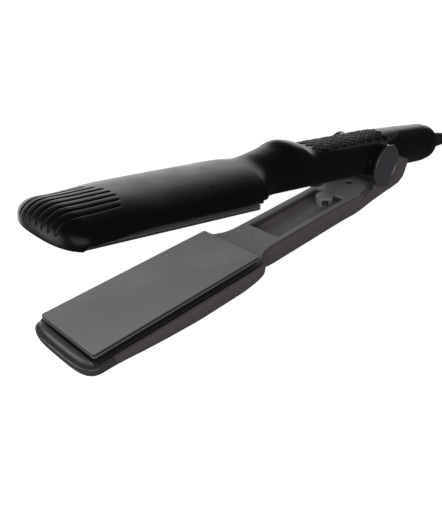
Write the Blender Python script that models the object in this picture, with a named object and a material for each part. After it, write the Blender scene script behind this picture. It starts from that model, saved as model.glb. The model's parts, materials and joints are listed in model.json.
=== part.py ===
"""Hair straightening iron: two hinged arms with floating hot plates, lying open at its stop.

Lengths are in millimetres until a mesh is made. Each arm is drawn in arm coordinates: X runs from the front
edge of the plates (0) to the cord end, Y across, and Z is the distance from the plane where the two plates
meet. The lower arm is drawn with the same functions, turned over. In the world the lower arm lies level on
Z = 0, and the upper arm is turned open about the hinge.
"""

import math

import bmesh
import bpy
from mathutils import Matrix, Vector

MM = 0.001

# Driving dimensions.
PLATE_LENGTH = 95.0
PLATE_WIDTH = 38.0
PLATE_THICK = 2.2
PLATE_FACE = 0.2  # each plate stops this far short of the meeting plane
FLOAT = 0.6  # how far a plate sinks into its head when pressed
HINGE_X = 207.0
HINGE_Z = 8.4
OPEN_DEG = 12.2
TABLE_DEPTH = 18.0  # the meeting plane of the lower arm lies this far above the table
MIDDLE_X = 157.45  # half way between the nose and the end of the strain relief

GAP = 0.3  # clearance between neighbouring solids
WALL = 2.0
HEAD_HALF = 22.3
NOSE_X = -6.3
NOSE_LENGTH = 8.2
NOSE_POWER = 2.4
HEAD_RIM = 4.4  # inner edge of the lower head's casing
UPPER_RIM = 2.9  # the upper head's casing comes closer to the meeting plane
HEAD_WIDEST = 7.6  # the casings are widest this far from the meeting plane
UPPER_NOSE_WIDEST = 5.2
HANDLE_WIDEST = 8.0
HANDLE_FACE = 3.0  # inner face of the handle
HEAD_POWER = 2.1  # roundness of the upper head's section; a larger power is squarer
HANDLE_POWER = 2.5
LOWER_POWER = 2.7

EAR_IN = 12.9
EAR_OUT = 16.4
EAR_DISC = 12.6
EAR_WRAP = 28.0
PIN_RADIUS = 3.0
CAP_RADIUS = 11.6
CAP_FACE = 17.2

BARREL_RADIUS = 12.4
BARREL_Z = 12.9
BARREL_START = 236.0
BARREL_END = 270.0
RING_END = 283.0
SLEEVE_END = 291.0
RELIEF_END = 322.0

POCKET = (118.5, 177.5, 10.4, 8.1)  # start, end, half width, depth of its floor
POST_X = 172.0
POST_RADIUS = 4.9
POST_TURN = 44.0  # the slot faces the near side and the nose
GRIP_START = 146.0
GRIP_END = 236.0
GRIP_STATIONS = [157, 165, 174, 183, 192, 200, 208, 216, 224]
GRIP_HALF = 10.4
GRIP_PROUD = 0.9
GRIP_DEPTH = 0.9
SWITCH_X = 131.0
DIAL_X = 157.0
DIAL_RADIUS = 8.0

CORD_RADIUS = 3.0
HANK_START = 350.0
HANK_RUN = 80.0
HANK_INNER = 18.0  # radius of the inner column of turns, at the middle of the cord
HANK_Y = -10.0
HANK_LAYERS = 3
TIE_THICK = 1.0
TIE_WIDTH = 10.0

# Half width and crown height along the arms, with the casing smooth between the stations.
UPPER_WIDTH = [(2, 22.3), (88, 22.3), (95, 21.6), (100, 18.4), (105, 16.0), (112, 15.0), (186, 14.6),
               (198, 14.0), (207, 13.2), (216, 12.5), (BARREL_START, BARREL_RADIUS), (BARREL_END, BARREL_RADIUS)]
UPPER_CROWN = [(2, 12.0), (22, 12.9), (60, 15.2), (90, 16.8), (102, 17.5), (111, 19.7), (121, 22.4),
               (128, 24.9), (135, 24.3), (144, 21.2), (155, 21.8), (170, 22.4), (190, 23.3), (212, 24.7),
               (BARREL_START, BARREL_Z + BARREL_RADIUS), (BARREL_END, BARREL_Z + BARREL_RADIUS)]
UPPER_INNER = [(2, UPPER_RIM), (80, UPPER_RIM), (89, HEAD_RIM), (97.4, HEAD_RIM), (99.4, HANDLE_FACE),
               (200, HANDLE_FACE), (214, 2.4), (225, 1.2),
               (BARREL_START, BARREL_Z - BARREL_RADIUS), (BARREL_END, BARREL_Z - BARREL_RADIUS)]
LOWER_WIDTH = [(2, 22.3), (88, 22.3), (95, 21.6), (100, 18.4), (105, 16.0), (112, 15.0), (170, 15.2),
               (192, EAR_OUT), (222, EAR_OUT)]
LOWER_CROWN = [(2, 12.4), (22, 14.6), (44, 17.4), (56, 18.5), (80, 18.5), (91, 16.6), (98, 14.6), (102, 15.0),
               (109, 18.0), (114, 18.6), (180, 18.5), (198, 15.4), (212, 13.4), (222, 11.5)]
LOWER_INNER = [(2, HEAD_RIM), (97.4, HEAD_RIM), (99.4, HANDLE_FACE), (222, HANDLE_FACE)]

ARM_STATIONS = [2, 12, 22, 36, 50, 64, 80, 88, 92, 95, 97.4, 99.4, 102, 105, 109, 113, 118, 123, 128, 133, 138,
                143, 149, 158, 170, 182, 192, 200, 208, 216, 225]


def remove_everything():
    for item in list(bpy.data.objects):
        bpy.data.objects.remove(item, do_unlink=True)


# ---------------------------------------------------------------- materials


def material(name, colour, roughness, metallic=0.0):
    made = bpy.data.materials.get(name)
    if made is None:
        made = bpy.data.materials.new(name)
        made.use_nodes = True
        shader = made.node_tree.nodes["Principled BSDF"]
        shader.inputs["Base Color"].default_value = (*colour, 1.0)
        shader.inputs["Roughness"].default_value = roughness
        shader.inputs["Metallic"].default_value = metallic
        made.diffuse_color = (*colour, 1.0)
    return made


MATERIALS = {
    "casing": ((0.012, 0.012, 0.014), 0.38, 0.0),
    "lower_casing": ((0.05, 0.042, 0.042), 0.28, 0.0),
    "inner_face": ((0.15, 0.15, 0.155), 0.5, 0.0),
    "grip": ((0.03, 0.03, 0.032), 0.6, 0.0),
    "plate": ((0.17, 0.165, 0.155), 0.3, 0.6),
    "carrier": ((0.03, 0.03, 0.032), 0.55, 0.0),
    "cap": ((0.2, 0.19, 0.21), 0.3, 0.0),
    "steel": ((0.5, 0.5, 0.5), 0.3, 1.0),
    "heater": ((0.75, 0.72, 0.66), 0.6, 0.0),
    "insulation": ((0.6, 0.35, 0.15), 0.5, 0.0),
    "board": ((0.03, 0.14, 0.06), 0.5, 0.0),
    "wire": ((0.5, 0.05, 0.04), 0.5, 0.0),
    "cord": ((0.012, 0.012, 0.012), 0.5, 0.0),
    "lens": ((0.5, 0.05, 0.03), 0.1, 0.0),
    "blade": ((0.7, 0.6, 0.35), 0.25, 1.0),
}


# ---------------------------------------------------------------- placing and combining


def hinge_matrix(arm):
    """World matrix of an arm's hinge axis; the upper arm is turned open about it."""
    place = Matrix.Translation(Vector((HINGE_X - MIDDLE_X, 0, TABLE_DEPTH + HINGE_Z)) * MM)
    if arm == "upper":
        return place @ Matrix.Rotation(math.radians(OPEN_DEG), 4, "Y")
    return place


def world_matrix(arm, pivot):
    if arm == "table":
        return Matrix.Translation(Vector((pivot[0] - MIDDLE_X, pivot[1], pivot[2])) * MM)
    offset = Vector(pivot) - Vector((HINGE_X, 0, HINGE_Z))
    return hinge_matrix(arm) @ Matrix.Translation(offset * MM)


def add(name, shape, slot, arm, pivot=(HINGE_X, 0, HINGE_Z), smooth=35):
    """A named object from a bmesh drawn in arm coordinates, with its origin on the pivot."""
    bmesh.ops.recalc_face_normals(shape, faces=shape.faces)
    bmesh.ops.translate(shape, verts=shape.verts, vec=-Vector(pivot))
    bmesh.ops.scale(shape, verts=shape.verts, vec=(MM, MM, MM))
    mesh = bpy.data.meshes.new(name)
    shape.to_mesh(mesh)
    shape.free()
    mesh.shade_smooth()
    mesh.set_sharp_from_angle(angle=math.radians(smooth))
    made = bpy.data.objects.new(name, mesh)
    bpy.context.scene.collection.objects.link(made)
    made.matrix_world = world_matrix(arm, pivot)
    if slot:
        mesh.materials.append(material(slot, *MATERIALS[slot]))
    made["arm"] = arm
    return made


def combine(target, shape, operation="DIFFERENCE", pivot=(HINGE_X, 0, HINGE_Z)):
    """Cut a shape from an object, or join it on. The shape stays in the scene as a hidden guide."""
    count = sum(item.name.startswith(target.name + "_guide") for item in bpy.data.objects)
    guide = add(f"{target.name}_guide{count}", shape, None, target["arm"], pivot)
    guide.hide_render = True
    guide.display_type = "WIRE"
    step = target.modifiers.new(guide.name, "BOOLEAN")
    step.operation = operation
    step.solver = "EXACT"
    step.object = guide


# ---------------------------------------------------------------- shapes


def loft(rings):
    """A closed body through rings of equally many points."""
    shape = bmesh.new()
    rows = [[shape.verts.new(point) for point in ring] for ring in rings]
    for near, far in zip(rows, rows[1:]):
        for i, point in enumerate(near):
            j = (i + 1) % len(near)
            shape.faces.new((point, near[j], far[j], far[i]))
    shape.faces.new(rows[0])
    shape.faces.new(rows[-1])
    return shape


def box(x, y, z):
    """A box between the pairs x, y and z."""
    low, high = zip(sorted(x), sorted(y), sorted(z))
    corners = [(low[0], low[1]), (high[0], low[1]), (high[0], high[1]), (low[0], high[1])]
    return loft([[(cx, cy, cz) for cx, cy in corners] for cz in (low[2], high[2])])


def rounded_box(x, y, z, radius, steps=4):
    """A box whose upright edges are rounded."""
    outline = []
    for cx, cy, start in ((x[1] - radius, y[1] - radius, 0), (x[0] + radius, y[1] - radius, 90),
                          (x[0] + radius, y[0] + radius, 180), (x[1] - radius, y[0] + radius, 270)):
        for i in range(steps + 1):
            turn = math.radians(start + 90 * i / steps)
            outline.append((cx + radius * math.cos(turn), cy + radius * math.sin(turn)))
    return loft([[(px, py, pz) for px, py in outline] for pz in z])


def prism_across(outline, y0, y1):
    """An outline in X and Z, extruded across the arm."""
    return loft([[(px, y, pz) for px, pz in outline] for y in (y0, y1)])


def turned(profile, centre, axis, segments=32):
    """A solid of revolution. The profile is a list of (distance along the axis, radius), both ends closed."""
    along = {"X": 0, "Y": 1, "Z": 2}[axis]
    side, up = [i for i in range(3) if i != along]
    rings = []
    for distance, radius in profile:
        ring = []
        for i in range(segments):
            turn = 2 * math.pi * i / segments
            point = [0.0, 0.0, 0.0]
            point[along] = distance
            point[side] = centre[side] + radius * math.cos(turn)
            point[up] = centre[up] + radius * math.sin(turn)
            ring.append(tuple(point))
        rings.append(ring)
    return loft(rings)


def smooth_curve(stations, x):
    """A value between stations, with no overshoot."""
    if x <= stations[0][0]:
        return stations[0][1]
    for k in range(len(stations) - 1):
        if x <= stations[k + 1][0]:
            break
    else:
        return stations[-1][1]
    slopes = [(b[1] - a[1]) / (b[0] - a[0]) for a, b in zip(stations, stations[1:])]

    def tangent(i):
        if i in (0, len(stations) - 1):
            return 0.0
        before, after = slopes[i - 1], slopes[i]
        return 0.0 if before * after <= 0 else 2 * before * after / (before + after)

    (x0, y0), (x1, y1) = stations[k], stations[k + 1]
    span = x1 - x0
    t = (x - x0) / span
    return (y0 * (1 + 2 * t) * (1 - t) ** 2 + y1 * t * t * (3 - 2 * t)
            + span * (tangent(k) * t * (1 - t) ** 2 - tangent(k + 1) * t * t * (1 - t)))


def power_round(t, power):
    return math.copysign(abs(t) ** (2 / power), t)


def arm_ring(x, half, inner, crown, outer_power=2.2, inner_power=4.5, widest=HEAD_WIDEST, points=22):
    """One ring across an arm: a nearly flat inner side and a crowned outer side."""
    ring = []
    for i in range(points):
        turn = 2 * math.pi * (i + 0.5) / points
        across, out = math.cos(turn), math.sin(turn)
        power = outer_power if out > 0 else inner_power
        reach = crown - widest if out > 0 else widest - inner
        ring.append((x, half * power_round(across, power), widest + reach * power_round(out, power)))
    return ring


def nose_rings(inset, inner, width, crown, **ring_options):
    """Rings round the blunt nose, with the plan of a superellipse."""
    rings = []
    length, half = NOSE_LENGTH - inset, width - inset
    for degrees in (9, 20, 32, 45, 58, 72):
        turn = math.radians(degrees)
        x = NOSE_X + NOSE_LENGTH - length * math.cos(turn) ** (2 / NOSE_POWER)
        reach = half * math.sin(turn) ** (2 / NOSE_POWER)
        height = crown - inset - (0.22 * crown) * (1 - math.sin(turn)) ** 1.4
        rings.append(arm_ring(x, reach, inner, height, **ring_options))
    return rings


def blend(x, start, end, a, b):
    t = min(max((x - start) / (end - start), 0.0), 1.0)
    t = t * t * (3 - 2 * t)
    return a + (b - a) * t


def arm_body(upper):
    """The outer form of an arm, solid."""
    width, crown, inner = (UPPER_WIDTH, UPPER_CROWN, UPPER_INNER) if upper else (LOWER_WIDTH, LOWER_CROWN, LOWER_INNER)
    rings = nose_rings(0, inner[0][1], HEAD_HALF, crown[0][1], widest=section_form(0, upper)[0])
    stations = [x for x in ARM_STATIONS if x < 222] + ([225, BARREL_START, 253, BARREL_END] if upper else [222])
    for x in stations:
        high, low = smooth_curve(crown, x), smooth_curve(inner, x)
        widest, outer_power, inner_power = section_form(x, upper)
        rings.append(arm_ring(x, smooth_curve(width, x), low, high, outer_power, inner_power, widest))
    return loft(rings)


def section_form(x, upper):
    """Depth of the widest point and the powers of the outer and inner halves of a section."""
    widest = blend(x, 97, 104, HEAD_WIDEST, HANDLE_WIDEST)
    if not upper:
        return widest, LOWER_POWER, 4.5
    widest = blend(x, 2, 34, UPPER_NOSE_WIDEST, widest)
    power = blend(x, 104, 140, HEAD_POWER, HANDLE_POWER)
    return (blend(x, 200, BARREL_START, widest, BARREL_Z), blend(x, 200, BARREL_START, power, 2.0),
            blend(x, 200, BARREL_START, 4.5, 2.0))


def arm_cavity(upper):
    """The hollow of an arm, open through its inner side up to the hinge."""
    width, crown = (UPPER_WIDTH, UPPER_CROWN) if upper else (LOWER_WIDTH, LOWER_CROWN)
    beyond = -3.0
    rings = nose_rings(WALL, beyond, HEAD_HALF, crown[0][1], inner_power=9.0)
    closed_from = 192 if upper else 999
    stations = [x for x in ARM_STATIONS if x < (192 if upper else 200)]
    stations += [192, 194, 200, 208, 216, 225, BARREL_START, BARREL_END + 5] if upper else [205]
    for x in stations:
        high = smooth_curve(crown, x) - WALL
        half = smooth_curve(width, x) - WALL
        low = beyond
        widest, outer_power, inner_power = section_form(x, upper)
        if x > closed_from:
            low = smooth_curve(UPPER_INNER, x) + WALL
            half = min(half, 10.4)
        else:
            inner_power = 9.0
        if not upper and x >= 192:
            half = EAR_IN - 0.1
        rings.append(arm_ring(x, half, low, high, outer_power, inner_power, widest))
    return loft(rings)


def turn_over(shape):
    """The lower arm's half of a shape drawn for the upper arm."""
    bmesh.ops.scale(shape, verts=shape.verts, vec=(1, 1, -1))
    return shape


def side(shape, upper):
    return shape if upper else turn_over(shape)


def hinge_cylinder(radius, y0, y1, segments=32):
    return turned([(y0, radius), (y1, radius)], (HINGE_X, 0, HINGE_Z), "Y", segments)


def arc(centre, radius, start, end, steps):
    """Points on an arc in X and Z, angles in degrees."""
    points = []
    for i in range(steps + 1):
        turn = math.radians(start + (end - start) * i / steps)
        points.append((centre[0] + radius * math.cos(turn), centre[1] + radius * math.sin(turn)))
    return points


# ---------------------------------------------------------------- casings


def make_upper_shell():
    shell = add("upper_shell", arm_body(True), "casing", "upper")
    combine(shell, arm_cavity(True))
    for y in (-1, 1):
        combine(shell, hinge_cylinder(EAR_DISC + 0.5, y * (EAR_IN - 0.4), y * 22))
    combine(shell, hinge_cylinder(4.9 + GAP, -22, 22, 24))
    combine(shell, box((HINGE_X - 8, HINGE_X + 8), (-5.6, 5.6), (-5, 9)))
    combine(shell, grip_block(0.4))


def make_lower_shell():
    shell = add("lower_shell", turn_over(arm_body(False)), "lower_casing", "lower")
    combine(shell, turn_over(arm_cavity(False)))
    combine(shell, box((-20, 240), (-40, 40), (-TABLE_DEPTH, -40)))
    combine(shell, box((216, 250), (-EAR_IN, EAR_IN), (-7, 40)))
    hinge = (HINGE_X, HINGE_Z)
    outline = arc(hinge, EAR_DISC, 222, 16, 16)
    outline += arc(hinge, EAR_WRAP, -10, -32, 4)
    outline += [(226, -8.8), (216, -9.6), (190, -9.6), (189, -4.4), (195.4, -3.2)]
    for y in (-1, 1):
        combine(shell, prism_across(outline, y * EAR_IN, y * EAR_OUT), "UNION")
        combine(shell, hinge_cylinder(CAP_RADIUS + GAP, y * 15.2, y * 22))
        combine(shell, hinge_cylinder(PIN_RADIUS + GAP, y * 10, y * 22, 24))


def grip_block(clearance=0.0):
    """The grip pad's block: a long rounded shape that follows the handle's crown, grown by a clearance."""
    rings = []
    middle = (GRIP_START + GRIP_END) / 2
    reach = (GRIP_END - GRIP_START) / 2 + 3.5
    for x in [GRIP_START - clearance, GRIP_START + 4] + GRIP_STATIONS + [GRIP_END - 5, GRIP_END + clearance]:
        top = smooth_curve(UPPER_CROWN, x)
        half = GRIP_HALF * math.sqrt(max(0.08, 1 - ((x - middle) / reach) ** 4)) + clearance
        outside = [(x, y, grip_height(x, y, top) + GRIP_PROUD) for y in grip_row(half)]
        inside = [(x, y, grip_height(x, y, top) - GRIP_DEPTH - clearance) for y in grip_row(-half)]
        rings.append(outside + inside)
    return loft(rings)


def grip_row(half):
    """Nine positions across the pad, from one side to the other."""
    return [half * (1 - i / 4) for i in range(9)]


def grip_height(x, y, top):
    """Height of the handle's outer surface at a point."""
    half = smooth_curve(UPPER_WIDTH, x)
    widest, power, _ = section_form(x, True)
    return widest + (top - widest) * (1 - (abs(y) / half) ** power) ** (1 / power)


def make_grip():
    add("grip_pad", grip_block(), "grip", "upper")


# ---------------------------------------------------------------- inner covers


def cover_blank(upper, start, end, thick=1.8):
    """A flat cover that fits between the casing's walls."""
    width = UPPER_WIDTH if upper else LOWER_WIDTH
    left, right = [], []
    for x in [start] + [s for s in ARM_STATIONS if start < s < end] + [end]:
        half = smooth_curve(width, x) - WALL - 0.9
        if not upper:
            half = min(half, EAR_IN - 0.1 - 0.4) if x > 190 else half
        right.append((x, -half))
        left.append((x, half))
    outline = right + left[::-1]
    return loft([[(px, py, pz) for px, py in outline] for pz in (HANDLE_FACE, HANDLE_FACE + thick)])


def make_upper_cover():
    cover = add("upper_inner_cover", cover_blank(True, 100.2, 190), "inner_face", "upper")
    combine(cover, rounded_box((SWITCH_X - 8.3, SWITCH_X + 8.3), (-5.9, 5.9), (0, 9), 1))
    combine(cover, turned([(0, DIAL_RADIUS + 0.5), (9, DIAL_RADIUS + 0.5)], (DIAL_X, 0, 0), "Z"))
    combine(cover, turned([(0, 1.7), (9, 1.7)], (143.5, 0, 0), "Z", 16))
    for x in (105, 184):
        combine(cover, turned([(0, 2.4), (4.1, 2.4)], (x, 0, 0), "Z", 16))


def make_lower_cover():
    cover = add("lower_inner_cover", turn_over(cover_blank(False, 100.2, 204.6)), "inner_face", "lower")
    start, end, half, depth = POCKET
    wall = 1.2
    combine(cover, rounded_box((start - wall, end + wall), (-half - wall, half + wall),
                               (-depth - wall, -HANDLE_FACE - 0.4), 2), "UNION")
    combine(cover, rounded_box((start, end), (-half, half), (-depth, 5), 1.2))
    for x in (107, 197):
        combine(cover, turned([(-1, 2.4), (-4.1, 2.4)], (x, 0, 0), "Z", 16))


def make_screw(name, x, upper):
    """A cross-head screw seated in a cover's counterbore."""
    top = HANDLE_FACE + 0.35
    shape = turned([(top, 1.4), (top + 0.15, 2.0), (top + 0.45, 2.0)], (x, 0, 0), "Z", 16)
    add(name, side(shape, upper), "steel", "upper" if upper else "lower")


def make_post():
    start, end, half, depth = POCKET
    post = add("slotted_post", turned([(-depth + GAP, POST_RADIUS), (-HANDLE_FACE - 0.5, POST_RADIUS),
                                       (-HANDLE_FACE - 0.1, POST_RADIUS - 0.4)], (POST_X, 0, 0), "Z", 24),
               "inner_face", "lower")
    slot = box((-6, -3.4), (-1.9, 1.9), (-depth - 1, -HANDLE_FACE - 1.0))
    bmesh.ops.rotate(slot, verts=slot.verts, matrix=Matrix.Rotation(math.radians(POST_TURN), 3, "Z"))
    bmesh.ops.translate(slot, verts=slot.verts, vec=(POST_X, 0, 0))
    combine(post, slot)


# ---------------------------------------------------------------- heads


def make_head(upper):
    arm = "upper" if upper else "lower"
    z_top = PLATE_FACE + PLATE_THICK
    carrier_z = z_top + 1.0
    plate = add(f"{arm}_plate", side(rounded_box((0, PLATE_LENGTH), (-PLATE_WIDTH / 2, PLATE_WIDTH / 2),
                                                 (PLATE_FACE, z_top), 1.2, 3), upper), "plate", arm)
    for y in (-8.9, 8.9):
        rail = box((7, PLATE_LENGTH - 13), (y - 0.7, y + 0.7), (z_top - 0.4, z_top + 4.2))
        combine(plate, side(rail, upper), "UNION")
    start, half = (-0.1, 19.4) if upper else (-0.6, 20.2)
    carrier = add(f"{arm}_plate_carrier", side(rounded_box((start, PLATE_LENGTH + 1.6), (-half, half),
                                                           (carrier_z, carrier_z + 0.8), 1.5, 3), upper),
                  "carrier", arm)
    lower_block = rounded_box((1, PLATE_LENGTH - 8), (-18, 18), (carrier_z + 0.6, 7.0), 3, 3)
    combine(carrier, side(lower_block, upper), "UNION")
    combine(carrier, side(rounded_box((4, PLATE_LENGTH - 11), (-11, 11), (0, 12), 1, 2), upper))
    for x in (18, PLATE_LENGTH - 18):
        for y in (-15, 15):
            combine(carrier, side(turned([(0, 2.8), (12, 2.8)], (x, y, 0), "Z", 16), upper))
            end = "front" if x < 50 else "rear"
            name = f"{arm}_float_pad_{end}_{'near' if y < 0 else 'far'}"
            pad = turned([(z_top + GAP, 2.1), (z_top + 0.8, 2.4), (6.5, 2.4)], (x, y, 0), "Z", 16)
            add(name, side(pad, upper), "insulation", arm)
    nose = [ring for ring in nose_rings(2.6, carrier_z, HEAD_HALF - 0.4, 9.0, points=20) if ring[0][0] < -1.4]
    nose.append([(-1.0, y, z) for _, y, z in nose[-1]])
    add(f"{arm}_nose_insert", side(loft(nose), upper), "carrier", arm)
    heater = rounded_box((18, 76), (-7, 7), (z_top + GAP, z_top + 2.8), 0.8, 2)
    add(f"{arm}_heater", side(heater, upper), "heater", arm)
    film = rounded_box((17, 77), (-7.6, 7.6), (z_top + 3.1, z_top + 3.6), 0.8, 2)
    add(f"{arm}_insulator", side(film, upper), "insulation", arm)


def make_sensors():
    z = PLATE_FACE + PLATE_THICK + GAP
    bead = turned([(79.5, 0.5), (80, 1.2), (82.5, 1.2), (83, 0.5)], (0, 0, z + 1.3), "X", 12)
    add("thermistor", bead, "heater", "upper")
    fuse = turned([(8.5, 0.6), (9, 1.8), (15.5, 1.8), (16, 0.6)], (0, 0, z + 1.9), "X", 12)
    add("thermal_fuse", fuse, "steel", "upper")


# ---------------------------------------------------------------- controls and electrics


def make_controls():
    pivot = (SWITCH_X, 0, 6.0)
    bezel = add("switch_bezel", rounded_box((SWITCH_X - 10, SWITCH_X + 10), (-7.5, 7.5), (1.6, 2.7), 1.5), "casing",
                "upper")
    combine(bezel, rounded_box((SWITCH_X - 8, SWITCH_X + 8), (-5.6, 5.6), (1.9, 10.5), 1), "UNION")
    combine(bezel, rounded_box((SWITCH_X - 7.2, SWITCH_X + 7.2), (-4.8, 4.8), (0, 9.6), 0.6))
    outline = [(SWITCH_X - 6.6, 1.7), (SWITCH_X - 3.3, 1.75), (SWITCH_X, 2.3), (SWITCH_X + 3.3, 1.75),
               (SWITCH_X + 6.6, 1.7), (SWITCH_X + 5.6, 5.6), (SWITCH_X + 2.2, 8.4), (SWITCH_X - 2.2, 8.4),
               (SWITCH_X - 5.6, 5.6)]
    rocker = add("power_rocker", prism_across(outline, -4.4, 4.4), "casing", "upper", pivot)
    rocker.matrix_world = world_matrix("upper", pivot) @ Matrix.Rotation(math.radians(-6), 4, "Y")

    pivot = (DIAL_X, 0, HANDLE_FACE)
    rings = []
    for z, radius in ((-0.5, 6.9), (0.1, 7.6), (3.6, 7.6), (3.6, DIAL_RADIUS - 1.4), (5.6, DIAL_RADIUS - 1.4)):
        ring = []
        for i in range(48):
            flute = 0.35 if i % 2 and 0 <= z < 3.6 or (i % 2 and radius == 7.6) else 0.0
            turn = 2 * math.pi * i / 48
            reach = radius - flute
            ring.append((DIAL_X + reach * math.cos(turn), reach * math.sin(turn), z))
        rings.append(ring)
    dial = add("temperature_dial", loft(rings), "casing", "upper", pivot)
    combine(dial, box((DIAL_X - 6.5, DIAL_X - 1.5), (-0.5, 0.5), (-2, -0.1)), pivot=pivot)
    add("dial_potentiometer", rounded_box((DIAL_X - 6, DIAL_X + 6), (-6, 6), (6.0, 9.6), 1), "board", "upper")
    lens = turned([(2.6, 0.8), (2.9, 1.4), (6.5, 1.4)], (143.5, 0, 0), "Z", 12)
    add("indicator_lens", lens, "lens", "upper")
    add("circuit_board", rounded_box((119, 183), (-8.5, 8.5), (11.0, 12.6), 1), "board", "upper")


def tube(name, points, radius, slot, arm, resolution=2):
    """A round wire or cord along points in arm coordinates, as a curve with filled caps."""
    curve = bpy.data.curves.new(name, "CURVE")
    curve.dimensions = "3D"
    curve.bevel_depth = radius * MM
    curve.bevel_resolution = resolution
    curve.use_fill_caps = True
    spline = curve.splines.new("POLY")
    spline.points.add(len(points) - 1)
    pivot = points[0]
    for target, point in zip(spline.points, points):
        target.co = (*((Vector(point) - Vector(pivot)) * MM), 1.0)
    curve.materials.append(material(slot, *MATERIALS[slot]))
    made = bpy.data.objects.new(name, curve)
    bpy.context.scene.collection.objects.link(made)
    made.matrix_world = world_matrix(arm, pivot)
    return made


def rounded_route(knots, count):
    """Points evenly spaced along a smooth curve through the knots."""
    knots = [Vector(k) for k in knots]
    padded = [2 * knots[0] - knots[1]] + knots + [2 * knots[-1] - knots[-2]]
    fine = []
    for a, b, c, d in zip(padded, padded[1:], padded[2:], padded[3:]):
        for i in range(24):
            t = i / 24
            fine.append(0.5 * (2 * b + (c - a) * t + (2 * a - 5 * b + 4 * c - d) * t * t
                               + (3 * b - a - 3 * c + d) * t ** 3))
    fine.append(knots[-1])
    lengths = [0.0]
    for a, b in zip(fine, fine[1:]):
        lengths.append(lengths[-1] + (b - a).length)
    route, k = [], 0
    for i in range(count):
        want = lengths[-1] * i / (count - 1)
        while k < len(lengths) - 2 and lengths[k + 1] < want:
            k += 1
        share = (want - lengths[k]) / max(lengths[k + 1] - lengths[k], 1e-9)
        route.append(fine[k].lerp(fine[k + 1], min(share, 1.0)))
    return route


def make_wiring():
    tube("heater_leads", rounded_route([(118.4, 3, 11.8), (108, 3, 11.5), (98, 3, 10.6), (90, 0, 9.4), (80, 0, 8.6)], 12),
         1.2, "wire", "upper")
    tube("inner_mains_lead", rounded_route([(183.4, 0, 12.4), (190, 0, 15.2), (198, 0, 17.8), (207, 0, 18.3),
                                            (218, 0, 17.3), (232, 0, 14), (244, 0, 12.9), (257.5, 0, BARREL_Z)], 24),
         1.7, "wire", "upper")


# ---------------------------------------------------------------- hinge


def make_hinge():
    add("hinge_pin", turned([(-14.9, 2.6), (-14.5, PIN_RADIUS), (14.5, PIN_RADIUS), (14.9, 2.6)],
                            (HINGE_X, 0, HINGE_Z), "Y", 24), "steel", "lower")
    bushing = add("hinge_bushing", hinge_cylinder(4.9, -12.4, 12.4, 24), "steel", "upper")
    combine(bushing, hinge_cylinder(PIN_RADIUS + GAP, -20, 20, 24))
    for name, y in (("hinge_cap_near", -1), ("hinge_cap_far", 1)):
        profile = [(15.5, CAP_RADIUS - 0.6), (15.9, CAP_RADIUS), (CAP_FACE - 0.4, CAP_RADIUS),
                   (CAP_FACE, CAP_RADIUS - 0.5), (CAP_FACE, CAP_RADIUS - 1.6), (CAP_FACE - 0.5, CAP_RADIUS - 2.3),
                   (CAP_FACE - 0.85, 6.5), (CAP_FACE - 1.0, 1.0)]
        add(name, turned([(y * d, r) for d, r in profile], (HINGE_X, 0, HINGE_Z), "Y", 28), "cap", "lower")
    points = []
    turns, mean, pitch = 5, 5.9, 1.6
    points.append((HINGE_X - mean, -turns * pitch / 2, HINGE_Z + 10))
    points.append((HINGE_X - mean, -turns * pitch / 2, HINGE_Z + 5))
    steps = 9 * turns
    for i in range(steps + 1):
        turn = math.radians(180) + 2 * math.pi * (turns - 0.1) * i / steps
        points.append((HINGE_X + mean * math.cos(turn), -turns * pitch / 2 + turns * pitch * i / steps,
                       HINGE_Z + mean * math.sin(turn)))
    tube("torsion_spring", points, 0.6, "steel", "upper", 1)


# ---------------------------------------------------------------- tail and cord


def make_tail():
    centre = (0, 0, BARREL_Z)
    ring = add("tail_ring", turned([(262, 9.6), (262.6, 10.0), (BARREL_END + 0.2, 10.0),
                                    (BARREL_END + GAP, BARREL_RADIUS - 0.5), (BARREL_END + 0.8, BARREL_RADIUS),
                                    (BARREL_END + 6, BARREL_RADIUS - 0.1), (RING_END - 1.6, BARREL_RADIUS - 0.7),
                                    (RING_END - 0.4, BARREL_RADIUS - 1.6), (RING_END, BARREL_RADIUS - 2.8)],
                                   centre, "X", 24), "casing", "upper")
    combine(ring, turned([(255, 7.4), (300, 7.4)], centre, "X", 20))
    pivot = (RING_END, 0, BARREL_Z)
    sleeve = add("swivel_sleeve", turned([(258.2, 8.6), (258.6, 9.0), (261.6, 9.0), (261.7, 7.0), (286.0, 7.0),
                                          (SLEEVE_END - 0.8, 6.8), (SLEEVE_END, 6.2)], centre, "X", 20),
                 "casing", "upper", pivot)
    combine(sleeve, turned([(250, 3.5), (SLEEVE_END - 2, 3.5)], centre, "X", 14), pivot=pivot)
    profile = [(SLEEVE_END + GAP, 5.6)]
    ribs = 6
    for i in range(ribs):
        start = SLEEVE_END + 2 + (RELIEF_END - SLEEVE_END - 3) * i / ribs
        radius = 5.7 - 1.9 * i / (ribs - 1)
        profile += [(start, radius), (start + 2.9, radius - 0.15), (start + 3.0, radius - 0.9),
                    (start + 4.2, radius - 1.0)]
    profile.append((RELIEF_END, 3.4))
    add("strain_relief", turned(profile, centre, "X", 14), "cord", "upper", pivot)


def on_table(x, z):
    """A point of the upper arm's middle plane, as a point in table coordinates."""
    turn = math.radians(OPEN_DEG)
    dx, dz = x - HINGE_X, z - HINGE_Z
    return (HINGE_X + dx * math.cos(turn) + dz * math.sin(turn),
            TABLE_DEPTH + HINGE_Z - dx * math.sin(turn) + dz * math.cos(turn))


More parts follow.
